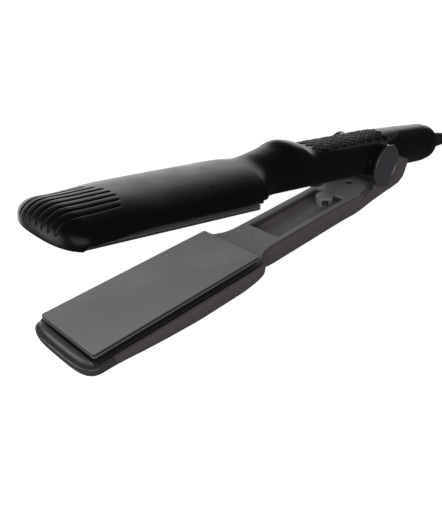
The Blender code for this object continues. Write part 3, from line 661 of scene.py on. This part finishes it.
def look(obj, azimuth, elevation, roll=0.0):
    """Point an object's -Z along the view from that azimuth and elevation."""
    a, e = radians(azimuth), radians(elevation)
    back = Vector((sin(a) * cos(e), -cos(a) * cos(e), sin(e)))
    obj.rotation_mode = "QUATERNION"
    obj.rotation_quaternion = ((-back).to_track_quat("-Z", "Y").to_matrix()
                               @ Matrix.Rotation(radians(roll), 3, "Z")).to_quaternion()
    return back


def make_camera():
    """The camera, at the photograph's viewing angle."""
    data = bpy.data.cameras.new("camera")
    data.lens = 41.54
    data.clip_start = 0.01
    data.clip_end = 50
    camera = new_object("camera", data)
    camera.location = (-0.24061, -0.17655, 0.16598)
    look(camera, azimuth=-44.07, elevation=31.84, roll=-2.31)
    bpy.context.scene.camera = camera


def soft_light(name, azimuth, elevation, distance, size, power):
    """A wide lamp that shines on the middle of the iron."""
    data = bpy.data.lights.new(name, "AREA")
    data.shape = "RECTANGLE"
    data.size, data.size_y = size
    data.energy = power
    lamp = new_object(name, data)
    lamp.location = look(lamp, azimuth, elevation) * distance
    lamp.visible_camera = False


def make_surround():
    """A surround that looks white but lights the object little."""
    world = bpy.data.worlds.new("studio")
    world.use_nodes = True
    bpy.context.scene.world = world
    nodes, links = world.node_tree.nodes, world.node_tree.links
    path = nodes.new("ShaderNodeLightPath")
    glow = nodes.new("ShaderNodeMapRange")
    set_inputs(glow, {"To Min": 0.07, "To Max": 1.0})
    links.new(path.outputs["Is Camera Ray"], glow.inputs["Value"])
    links.new(glow.outputs["Result"], nodes["Background"].inputs["Strength"])
    nodes["Background"].inputs["Color"].default_value = (1, 1, 1, 1)


def make_floor():
    """A white floor that shows the object's shadow and throws no light back on it."""
    mesh = bpy.data.meshes.new("floor")
    shape = bmesh.new()
    bmesh.ops.create_grid(shape, x_segments=1, y_segments=1, size=12)
    shape.to_mesh(mesh)
    shape.free()
    floor = new_object("floor", mesh)
    floor.location.z = -0.0002
    floor.visible_glossy = floor.visible_diffuse = floor.visible_shadow = False
    pale = bpy.data.materials.new("pale_floor")
    pale.use_nodes = True
    set_inputs(pale.node_tree.nodes["Principled BSDF"],
               {"Base Color": (0.8, 0.8, 0.8, 1), "Roughness": 0.9, "Specular IOR Level": 0.0,
                "Emission Color": (1, 1, 1, 1), "Emission Strength": 0.85})
    mesh.materials.append(pale)


def make_studio():
    """A wide soft light behind the object, two soft fills, and a white floor and surround."""
    bpy.context.scene.view_settings.view_transform = "Standard"
    make_surround()
    soft_light("back_wall", azimuth=149, elevation=-4, distance=1.5, size=(3.0, 1.6), power=23)
    soft_light("side_fill", azimuth=-40, elevation=24, distance=1.6, size=(2.2, 1.4), power=19)
    soft_light("nose_fill", azimuth=-122, elevation=4, distance=1.5, size=(0.9, 0.9), power=7)
    make_floor()


# ---- The cord


def on_table(x, z):
    """A point of the upper arm's middle plane in table coordinates."""
    dx, dz = x - HINGE_X, z - HINGE_Z
    return (HINGE_X + dx * cos(OPEN) + dz * sin(OPEN),
            TABLE_DEPTH + HINGE_Z - dx * sin(OPEN) + dz * cos(OPEN))


def rounded_route(knots):
    """A smooth curve through the knots, with four steps from each to the next."""
    knots = [Vector(knot) for knot in knots]
    padded = [2 * knots[0] - knots[1]] + knots + [2 * knots[-1] - knots[-2]]
    route = []
    for a, b, c, d in zip(padded, padded[1:], padded[2:], padded[3:]):
        for t in (0.0, 0.25, 0.5, 0.75):
            route.append(0.5 * (2 * b + (c - a) * t + (2 * a - 5 * b + 4 * c - d) * t * t
                                + (3 * b - a - 3 * c + d) * t ** 3))
    return route + [knots[-1]]


def hank_point(turns, radius, layer):
    """A point of the hank: turns counts loops from the front end of the near-side run."""
    run = HANK_REAR - HANK_FRONT
    bend = pi * (HANK_INNER + CORD_RADIUS)
    along = (turns % 1.0) * 2 * (run + bend)
    if along < run:
        x, y = HANK_FRONT + along, HANK_Y + radius
    elif along < run + bend:
        turn = pi * (along - run) / bend
        x, y = HANK_REAR + radius * sin(turn), HANK_Y + radius * cos(turn)
    elif along < 2 * run + bend:
        x, y = HANK_REAR - (along - run - bend), HANK_Y - radius
    else:
        turn = pi * (along - 2 * run - bend) / bend
        x, y = HANK_FRONT - radius * sin(turn), HANK_Y - radius * cos(turn)
    over_tie = 1.05 * exp(-((x - (HANK_FRONT + HANK_REAR) / 2) / 16) ** 2)
    return (x, y, CORD_RADIUS + 0.05 + 2 * CORD_RADIUS * layer + over_tie)


def hank_route():
    """Turns in two columns and three layers, each change of column or layer a little before the last one."""
    outer, inner = HANK_INNER + 2 * CORD_RADIUS, HANK_INNER
    radius_steps = [(0.85, outer, inner), (2.65, inner, outer), (4.5, outer, inner)]
    layer_steps = [(1.75, 0, 1), (3.55, 1, 2)]
    route = []
    for turns in span(0.07, 5.49, 1 / 40):
        radius, layer = outer, 0.0
        for start, before, after in radius_steps:
            if turns > start:
                radius = ramp(turns, start, start + 0.15, before, after)
        for start, before, after in layer_steps:
            if turns > start:
                layer = ramp(turns, start, start + 0.15, before, after)
        route.append(hank_point(turns, radius, layer))
    return route


def make_cord():
    x0, z0 = on_table(RELIEF_END + 0.3, BARREL_Z)
    x1, z1 = on_table(RELIEF_END + 8, BARREL_Z)
    lead = [(x0, 0, z0), (x1, 0.3, z1), (338, 3.4, 3.6), (347, 8.6, 3.05), (357.5, 13.6, 3.05),
            (370, 14, 3.05)]
    tail = [(446, -25.5, 16.6), (437, -19.5, 20.4), (429, -13.0, 24.4), (422, -10.4, 26.5),
            (RELIEF_X + 0.3, HANK_Y, PLUG_Z)]
    route = rounded_route(lead + hank_route() + tail)
    curve = bpy.data.curves.new("mains_cord", "CURVE")
    curve.dimensions = "3D"
    curve.bevel_depth = CORD_RADIUS * MM
    curve.bevel_resolution = 4
    curve.use_fill_caps = True
    spline = curve.splines.new("POLY")
    spline.points.add(len(route) - 1)
    for target, point in zip(spline.points, route):
        target.co = (*(arm_matrix("table") @ point), 1.0)
    spline.use_smooth = True
    curve.materials.append(CORD_BLACK)
    cord = new_object("mains_cord", curve)
    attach(cord, "upper_arm")
    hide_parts("cord_lead", "cord_hank", "cord_tail")
    return cord


def make_tie():
    """A woven strap round the middle of the hank, with eased edges."""
    middle = (HANK_FRONT + HANK_REAR) / 2
    reach = HANK_INNER + 3 * CORD_RADIUS + 0.25

    def loop(x, thick):
        outline = rounded_outline((HANK_Y - reach - thick, HANK_Y + reach + thick),
                                  (TIE_Z[0] - thick, TIE_Z[1] + thick), 3.0 + thick)
        return [(middle + x, y, z) for y, z in outline]

    eased = TIE_HALF - 0.3
    rings = [loop(-TIE_HALF, TIE_THICK - 0.25), loop(-eased, TIE_THICK), loop(0, TIE_THICK - 0.02),
             loop(eased, TIE_THICK), loop(TIE_HALF, TIE_THICK - 0.25), loop(TIE_HALF, 0), loop(-TIE_HALF, 0)]
    tie = object_from("cord_strap", loft(rings, hoop=True), "table")
    return dress(tie, "upper_arm", STRAP, "tie", "cord_tie")


def make_plug_boot():
    """The ribbed relief where the cord enters the plug."""
    profile = [(RELIEF_X, 3.25), (RELIEF_X - 0.4, 3.6)]
    for i in range(5):
        start = RELIEF_X - 1.0 - 3.3 * i
        radius = 3.8 + 1.6 * i / 4
        profile += [(start, radius), (start - 2.0, radius + 0.25), (start - 2.15, radius - 0.55),
                    (start - 3.1, radius - 0.5)]
    profile += [(RELIEF_X - 17.6, 5.5)]
    boot = object_from("plug_boot", turned(profile, (0, HANK_Y, PLUG_Z), "X", 64), "table")
    return dress(boot, "upper_arm", CORD_BLACK, "moulded_rubber", "plug_relief")


def make_plug():
    """A moulded two-blade plug lying on the hank."""
    pieces = [make_plug_boot()]
    back = RELIEF_X - 18
    rings = []
    for x, half, tall in ((0, 6.2, 4.6), (0.5, 7.2, 5.6), (2.0, 9.6, 6.6), (4.5, 11.2, 7.2), (8, 10.4, 6.9),
                          (13, 9.9, 6.7), (18, 10.4, 6.9), (24, 11.4, 7.3), (29.5, 11.9, 7.45),
                          (31.3, 11.5, 7.1), (32, 10.7, 6.3)):
        rings.append([(back - x, HANK_Y + half * signed_power(cos(radians(degrees)), 0.62),
                       PLUG_Z + tall * signed_power(sin(radians(degrees)), 0.62))
                      for degrees in span(0, 360, 6)[:-1]])
    body = object_from("plug_moulding", loft(rings), "table")
    for y in (HANK_Y - BLADE_Y, HANK_Y + BLADE_Y):
        slot = box((back - 34, back - 25), (y - 0.8, y + 0.8), (PLUG_Z - 3.25, PLUG_Z + 3.25))
        combine(body, slot, "table")
    settle(body)
    pieces.append(dress(body, "upper_arm", CORD_BLACK, "moulded_rubber", "plug_body"))
    outline = rounded_outline((back - 49, back - 25.3), (PLUG_Z - 3.15, PLUG_Z + 3.15), 1.6, 6)
    for side, y in (("near", HANK_Y - BLADE_Y), ("far", HANK_Y + BLADE_Y)):
        blade = object_from(f"blade_{side}", prism_across(outline, y - 0.74, y + 0.74), "table")
        hole = cylinder(1.5, HANK_Y - 10, HANK_Y + 10, (back - 44.5, 0, PLUG_Z), "Y", 32)
        combine(blade, hole, "table")
        settle(blade)
        soften(blade, 0.25)
        pieces.append(dress(blade, "upper_arm", BRASS, "blade", f"plug_blade_{side}"))
    return pieces


# ---- Casings


def ear_outline():
    """One hinge ear in X and Z: a disc round the pin with a lobe that runs back into the casing."""
    hinge = (HINGE_X, -HINGE_Z)
    outline = arc(hinge, EAR_DISC, -222, -16, 48)
    outline += arc(hinge, EAR_WRAP, 10, 32, 10)
    return outline + [(226, 8.8), (216, 9.6), (190, 9.6), (189, 4.4), (195.4, 3.2)]


def boss_body(side):
    """The rim that the upper casing raises round the front of an ear, and over the top of the near one."""
    hinge = (HINGE_X, HINGE_Z)
    top = 104 if side < 0 else 150
    rim = arc(hinge, EAR_DISC + 1.5, 200, top, 24) + arc(hinge, EAR_DISC + EAR_GAP, top, 200, 24)
    return prism_across(rim, side * 11.5, side * (EAR_OUT + 0.3))


def make_upper_casing():
    """The black casing, with seats for the ears and the grip, and room for the bushing and the spring."""
    casing = object_from("upper_casing", arm_skin(True), "upper")
    combine(casing, arm_cavity(True), "upper")
    for y in (-1, 1):
        seat = hinge_cylinder(EAR_DISC + EAR_GAP, y * (EAR_IN - 0.4), y * OUTSIDE, True)
        combine(casing, seat, "upper")
        combine(casing, boss_body(y), "upper", "UNION")
    combine(casing, hinge_cylinder(BUSHING_BORE, -OUTSIDE, OUTSIDE, True, 48), "upper")
    combine(casing, box((HINGE_X - 8, HINGE_X + 8), (-5.6, 5.6), (-5, 9)), "upper")
    combine(casing, grip_body(0.04, 1.0, False), "upper")
    settle(casing)
    dress(casing, "upper_arm", SATIN_BLACK, "casing", "upper_shell")


def make_lower_casing():
    """The charcoal casing with its two ears, with painted shade at the nose and on the ears' front faces."""
    casing = object_from("lower_casing_shell", arm_skin(False), "lower")
    combine(casing, arm_cavity(False), "lower")
    combine(casing, box((216, 250), (-EAR_IN, EAR_IN), (7, -40)), "lower")
    for y in (-1, 1):
        combine(casing, prism_across(ear_outline(), y * EAR_IN, y * EAR_OUT), "lower", "UNION")
        combine(casing, hinge_cylinder(CAP_SEAT, y * 15.2, y * OUTSIDE, False), "lower")
        combine(casing, hinge_cylinder(PIN_RADIUS + 0.3, y * 10, y * OUTSIDE, False, 48), "lower")
    settle(casing)
    dress(casing, "lower_arm", CHARCOAL, "lower_casing", "lower_shell")
    # The ears' front faces are painted near black as shade.
    ear_start = arm_matrix("lower") @ Vector((EAR_FRONT, 0, 0))
    repaint(casing, CONTROL_BLACK, lambda face: face.normal.x < -0.75 and face.center.x > ear_start.x)
    # The casing in front of the nose's seam is painted a darker charcoal as shade.
    seam = arm_matrix("lower") @ Vector((NOSE_SEAM, 0, 0))
    repaint(casing, NOSE_PAINTED_SHADE, lambda face: face.center.x < seam.x)


# ---- Grip

GRIP_START = 146.0
GRIP_END = 236.0
GRIP_HALF = 10.4
DIAMOND_LENGTH = 8.6
DIAMOND_WIDTH = 4.4
DIAMOND_FIRST = 154.6
DIAMOND_COUNT = 8
DIAMOND_ROWS = 8
DIAMOND_RISE = 0.4


def grip_half(x):
    """Half width of the pad, which narrows at its ends."""
    middle = (GRIP_START + GRIP_END) / 2
    reach = (GRIP_END - GRIP_START) / 2 + 3.5
    return GRIP_HALF * sqrt(max(0.08, 1 - ((x - middle) / reach) ** 4))


def diamond_rise(x, y):
    """Height of the raised lozenges, and of the two dots behind them, at a point of the handle."""
    best = 0.0
    for row in range(DIAMOND_ROWS):
        centre_y = (row - (DIAMOND_ROWS - 1) / 2) * DIAMOND_WIDTH / 2
        shift = DIAMOND_FIRST - (row % 2) * DIAMOND_LENGTH / 2
        place = round((x - shift) / DIAMOND_LENGTH)
        if not 0 <= place < DIAMOND_COUNT:
            continue
        across = abs(y - centre_y) / (DIAMOND_WIDTH / 2)
        along = abs(x - shift - place * DIAMOND_LENGTH) / (DIAMOND_LENGTH / 2)
        outer_edge = (row == 0 and y < centre_y) or (row == DIAMOND_ROWS - 1 and y > centre_y)
        if outer_edge:  # the tips on the pad's long sides are rounded
            inside = 1 - hypot(along, across * 1.05) ** 1.25
        else:
            inside = 1 - along - across
        best = max(best, ramp(inside, 0.1, 0.24))
    dots_x = DIAMOND_FIRST + DIAMOND_COUNT * DIAMOND_LENGTH
    for dot_y in (-8.0, 8.0):
        best = max(best, ramp(0.9 - hypot(x - dots_x, y - dot_y), 0.0, 0.4))
    return DIAMOND_RISE * best


def grip_body(clearance, depth, raised):
    """The pad, which follows the handle's surface: with its lozenges raised, or plain to cut its seat."""
    rings = []
    ends = GRIP_START - clearance, GRIP_END + clearance
    for x in [ends[0]] + span(GRIP_START + 0.05, GRIP_END - 0.05, 0.36) + [ends[1]]:
        half = grip_half(x) + clearance
        outside, inside = [], []
        for share in span(1, -1, 0.036 if raised else 0.1):
            y = half * share
            top = height_at(x, y)
            edge = min(x - GRIP_START, GRIP_END - x, (1 - abs(share)) * half)
            rise = diamond_rise(x, y) - 0.02 * ramp(edge, 0.3, 0.0) if raised else 1.2
            outside.append((x, y, top + rise))
            inside.append((x, y, top - depth))
        rings.append(outside + inside[::-1])
    return loft(rings)


def make_grip():
    """The pad, with a darker paint on its lozenges."""
    grip = object_from("diamond_grip", grip_body(0.0, 0.9, True), "upper")
    dress(grip, "upper_arm", GRIP_BLACK, "grip", "grip_pad")
    to_arm = arm_matrix("upper").inverted()

    def raised(face):
        x, y, z = to_arm @ face.center
        return diamond_rise(x, y) > 0.6 * DIAMOND_RISE and z > height_at(x, y) - 0.3

    repaint(grip, LOZENGE, raised)


# ---- Heads


def plate_body():
    """A hot plate: the coated face, a shadow groove round it and the flange that holds it in its seat."""
    rings = []
    for z, inset, radius in ((PLATE_FACE, 0.35, 0.9), (PLATE_FACE + 0.1, 0.12, 1.0),
                             (PLATE_FACE + 0.32, 0.0, 1.1), (1.45, 0.0, 1.1), (1.55, 0.45, 0.8),
                             (1.95, 0.45, 0.8), (2.02, 0.0, 1.1), (2.4, 0.0, 1.1)):
        half = PLATE_HALF - inset
        outline = rounded_outline((inset, PLATE_LENGTH - inset), (-half, half), radius, 6)
        rings.append([(x, y, z) for x, y in outline])
    return loft(rings)


def nose_insert_body(upper):
    """The crowned filler between a plate's front edge and the casing's rim."""
    inset, back_z = (2.3, 6.0) if upper else (1.8, 7.6)
    length, plan = nose_plan(upper)
    half = HEAD_HALF - inset
    rear = -0.5
    rings = []
    for i in range(65):
        share = cos(pi * i / 64)
        y = half * 0.95 * share
        tip = NOSE_START - (length - inset) * bulge(y / half, plan)
        side = (1 - abs(share) ** 7) ** 0.5
        ring = []
        for t in span(0, 1, 1 / 16):
            dome = sqrt(max(0.0, 1 - ((t - 0.3) / (0.3 if t < 0.3 else 0.7)) ** 2))
            ring.append((rear + (tip - rear) * t, y, 4.7 - 2.6 * dome * side))
        rings.append(ring + [(tip, y, back_z), (rear, y, back_z)])
    return loft(rings)


def make_head(arm):
    """A plate with its rails, and the filler in front of it."""
    plate = object_from(f"{arm}_hot_plate", plate_body(), arm)
    dress(plate, f"{arm}_plate_float", CERAMIC, "plate", f"{arm}_plate")
    # The plate's edges are painted dark as shade.
    repaint(plate, PLATE_EDGE_SHADE, stands_along_z(arm))
    for side, y in (("near", -8.9), ("far", 8.9)):
        body = box((7, PLATE_LENGTH - 13), (y - 0.7, y + 0.7), (2.3, 6.6))
        rail = object_from(f"{arm}_plate_rail_{side}", body, arm)
        soften(rail, 0.2)
        dress(rail, f"{arm}_plate_float", CERAMIC, "plate")
    insert = object_from(f"{arm}_nose_filler", nose_insert_body(arm == "upper"), arm)
    dress(insert, f"{arm}_arm", INSERT_GREY, "carrier", f"{arm}_nose_insert")


# ---- Inner covers


def cover_body(upper, start, end):
    """An inner cover as wide as the inside of the casing's lip."""
    width = UPPER_WIDTH if upper else LOWER_WIDTH
    points = []
    for x in span(start, end, 1.2):
        half = smooth_curve(width, x) - WALL - 0.35
        if not upper and x > 188:
            half = min(half, EAR_IN - 0.5)
        points.append((x, half))
    outline = [(x, -half) for x, half in points] + [(x, half) for x, half in reversed(points)]
    return loft([[(x, y, z) for x, y in outline] for z in (COVER_FACE, COVER_FACE + COVER_THICK)])


def drill(target, radius, depth, x, arm, segments):
    """Cut a round hole down to a depth in an arm's inner side."""
    combine(target, cylinder(radius, 0, depth, (x, 0, 0), "Z", segments), arm)


def make_upper_cover():
    """The black cover, with its windows for the rocker, the lens and the dial."""
    cover = object_from("upper_handle_cover", cover_body(True, 99.5, 190), "upper")
    combine(cover, rounded_box(ROCKER_X, (-ROCKER_HALF, ROCKER_HALF), (0, 9), 1), "upper")
    drill(cover, DIAL_HOLE, 9, DIAL_X, "upper", 96)
    drill(cover, LENS_HOLE, 9, LENS_X, "upper", 32)
    for x in SCREW_XS["upper"]:
        drill(cover, SCREW_WELL, 4.1, x, "upper", 48)
    settle(cover)
    soften(cover, 0.2)
    dress(cover, "upper_arm", CONTROL_BLACK, "inner_face", "upper_inner_cover")


def make_lower_cover():
    """The grey face of the lower handle, open over the pocket."""
    cover = object_from("lower_handle_face", cover_body(False, 97.2, 204.6), "lower")
    combine(cover, rounded_box(POCKET_X, (-POCKET_HALF, POCKET_HALF), (0, 9), POCKET_ROUND), "lower")
    for x in SCREW_XS["lower"]:
        drill(cover, SCREW_WELL, 4.0, x, "lower", 48)
    settle(cover)
    soften(cover, 0.2)
    dress(cover, "lower_arm", FLAT_GREY, "inner_face", "lower_inner_cover")


def make_pocket():
    """The tray under the lower cover, which clears the switch and the dial."""
    start, end = POCKET_X
    outer_half = POCKET_HALF + TRAY_WALL
    body = rounded_box((start - TRAY_WALL, end + TRAY_WALL), (-outer_half, outer_half),
                       (COVER_FACE + COVER_THICK - 0.05, POCKET_DEPTH + TRAY_WALL), 2)
    tray = object_from("handle_pocket", body, "lower")
    hollow = rounded_box(POCKET_X, (-POCKET_HALF, POCKET_HALF), (0, POCKET_DEPTH), POCKET_ROUND)
    combine(tray, hollow, "lower")
    settle(tray)
    soften(tray, 0.25)
    dress(tray, "lower_arm", POCKET_GREY, "inner_face")
    # The pocket's walls are painted darker as shade.
    repaint(tray, POCKET_WALL_SHADE, stands_along_z("lower"))


def make_post():
    """The slotted post that stands in the pocket."""
    profile = [(HANDLE_FACE - 0.1, POST_RADIUS - 0.25), (HANDLE_FACE + 0.1, POST_RADIUS),
               (POCKET_DEPTH, POST_RADIUS)]
    post = object_from("pocket_post", turned(profile, (POST_X, 0, 0), "Z", 64), "lower")
    slot = box((-6, -1.6), (-1.9, 1.9), (HANDLE_FACE + 0.9, POCKET_DEPTH + 1))
    bmesh.ops.rotate(slot, verts=slot.verts, matrix=Matrix.Rotation(radians(POST_TURN), 3, "Z"))
    bmesh.ops.translate(slot, verts=slot.verts, vec=(POST_X, 0, 0))
    combine(post, slot, "lower")
    settle(post)
    dress(post, "lower_arm", FLAT_GREY, "inner_face", "slotted_post")
    to_arm = arm_matrix("lower").inverted()

    # The slot's faces are painted darker as shade.
    def in_slot(face):
        x, y, z = to_arm @ face.center
        return z > HANDLE_FACE + 0.5 and hypot(x - POST_X, y) < POST_RADIUS - 0.2

    repaint(post, POCKET_WALL_SHADE, in_slot)


def make_screw(arm, end, x):
    """A pan-head screw with a cross recess, in a cover's counterbore."""
    name = f"{arm}_cover_screw_{end}"
    top = COVER_FACE + 0.15
    profile = [(top, 0.9), (top + 0.06, 1.5), (top + 0.22, 1.95), (top + 0.55, 2.1)]
    screw = object_from(f"{name}_head", turned(profile, (x, 0, 0), "Z", 48), arm)
    for along, across in ((1.25, 0.25), (0.25, 1.25)):
        combine(screw, box((x - along, x + along), (-across, across), (top - 1, top + 0.4)), arm)
    settle(screw)
    dress(screw, f"{arm}_arm", STEEL, "steel", name)


def make_screw_plug(x):
    """The flush plug that hides the lower screw nearest the plate."""
    profile = [(COVER_FACE - 0.02, 1.9), (COVER_FACE, 2.15), (COVER_FACE + 0.2, 2.3),
               (COVER_FACE + 0.7, 2.3)]
    plug = object_from("lower_screw_plug", turned(profile, (x, 0, 0), "Z", 48), "lower")
    dress(plug, "lower_arm", FLAT_GREY, "inner_face", "lower_cover_screw_front")


# ---- Hinge caps and tail


def make_caps():
    """Dished hinge caps with a rounded rim."""
    rim = arc((CAP_FACE - 0.45, CAP_RADIUS - 0.45), 0.45, 90, 0, 6)
    rim += arc((CAP_FACE - 0.35, CAP_RADIUS - 1.15), 0.35, 0, -75, 5)
    dish = [(CAP_FACE - 0.45 - CAP_DISH * cos(radians(a)), (CAP_RADIUS - 1.75) * sin(radians(a)))
            for a in span(82, 6, 8)]
    profile = [(15.5, 10.6), (16.5, 10.9), (17.0, CAP_RADIUS - 0.5), (17.4, CAP_RADIUS)] + rim + dish
    for side, y in (("near", -1), ("far", 1)):
        body = turned([(y * depth, radius) for depth, radius in profile], (HINGE_X, 0, -HINGE_Z), "Y")
        cap = object_from(f"hinge_dish_{side}", body, "lower")
        dress(cap, "lower_arm", CAP_GREY, "cap", f"hinge_cap_{side}")


def make_tail_ring():
    """The collar that closes the barrel."""
    profile = [(262, 9.6), (262.6, 10.0), (BARREL_END + 0.25, 10.0), (BARREL_END + 0.3, BARREL_RADIUS - 0.9),
               (BARREL_END + 0.5, BARREL_RADIUS - 0.3), (BARREL_END + 1.0, BARREL_RADIUS),
               (BARREL_END + 6, BARREL_RADIUS - 0.15), (RING_END - 2.6, BARREL_RADIUS - 0.75)]
    profile += arc((RING_END - 2.0, BARREL_RADIUS - 2.8), 2.0, 80, 0, 8)
    profile += [(RING_END - 0.35, 8.6), (RING_END - 0.9, 7.6)]
    ring = object_from("tail_collar", turned(profile, BARREL_CENTRE, "X"), "upper")
    combine(ring, cylinder(7.4, 255, 300, BARREL_CENTRE, "X", 64), "upper")
    settle(ring)
    dress(ring, "upper_arm", SATIN_BLACK, "casing", "tail_ring")


def make_swivel():
    """The sleeve that turns in the collar with the cord."""
    profile = [(258.2, 8.6), (258.6, 9.0), (261.6, 9.0), (261.7, 7.1), (286.2, 7.1), (286.6, 6.9),
               (286.8, 6.3), (287.2, 6.25), (287.4, 6.9), (SLEEVE_END - 1.0, 6.8), (SLEEVE_END - 0.3, 6.5),
               (SLEEVE_END, 6.0)]
    sleeve = object_from("swivel_barrel", turned(profile, BARREL_CENTRE, "X"), "upper")
    combine(sleeve, cylinder(3.5, 250, SLEEVE_END - 2, BARREL_CENTRE, "X", 48), "upper")
    settle(sleeve)
    dress(sleeve, "cord_swivel", SATIN_BLACK, "casing", "swivel_sleeve")


def make_relief():
    """The ribbed strain relief."""
    profile = [(SLEEVE_END + 0.3, 5.3), (SLEEVE_END + 0.5, 5.7), (SLEEVE_END + 1.6, 5.7)]
    pitch = (RELIEF_END - SLEEVE_END - 3.4) / RELIEF_RIBS
    for i in range(RELIEF_RIBS):
        start = SLEEVE_END + 2.2 + pitch * i
        radius = 5.6 - 1.75 * i / (RELIEF_RIBS - 1)
        profile += [(start, radius - 0.9), (start + 0.15, radius - 0.2), (start + 0.45, radius),
                    (start + pitch * 0.6, radius - 0.1), (start + pitch * 0.68, radius - 0.3),
                    (start + pitch * 0.75, radius - 0.95)]
    profile += [(RELIEF_END - 0.5, 3.75), (RELIEF_END, 3.3)]
    relief = object_from("ribbed_relief", turned(profile, BARREL_CENTRE, "X", 72), "upper")
    dress(relief, "cord_swivel", CORD_BLACK, "moulded_rubber", "strain_relief")


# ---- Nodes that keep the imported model's shape


def paint_carried_nodes():
    """Give each of them its material, and round the edges of those that show."""
    paints = {
        STEEL: ["hinge_pin", "hinge_bushing", "torsion_spring", "thermal_fuse"],
        HEATER: ["upper_heater", "lower_heater", "thermistor"],
        SILICONE: ["upper_insulator", "lower_insulator"]
        + [f"{arm}_float_pad_{end}_{side}" for arm in ("upper", "lower") for end in ("front", "rear")
           for side in ("near", "far")],
        LAMINATE: ["circuit_board", "dial_potentiometer"],
        WIRE_RED: ["heater_leads", "inner_mains_lead"],
        LENS: ["indicator_lens"],
        CONTROL_BLACK: ["power_rocker", "temperature_dial", "switch_bezel"],
        DARK_SEAT: ["upper_plate_carrier", "lower_plate_carrier"],
    }
    for look_of, names in paints.items():
        for name in names:
            node = frame["nodes"][name]
            node.data.materials.clear()
            node.data.materials.append(look_of)
    for name in ("power_rocker", "switch_bezel", "circuit_board", "upper_plate_carrier",
                 "lower_plate_carrier"):
        soften(frame["nodes"][name], 0.2)


def main():
    make_camera()
    make_studio()
    cord = make_cord()
    tie = make_tie()
    plug = make_plug()
    make_upper_casing()
    make_lower_casing()
    make_grip()
    make_head("upper")
    make_head("lower")
    make_upper_cover()
    make_lower_cover()
    make_pocket()
    make_post()
    make_screw("upper", "front", SCREW_XS["upper"][0])
    make_screw("upper", "rear", SCREW_XS["upper"][1])
    make_screw_plug(SCREW_XS["lower"][0])
    make_screw("lower", "rear", SCREW_XS["lower"][1])
    make_caps()
    make_tail_ring()
    make_swivel()
    make_relief()
    paint_carried_nodes()


main()
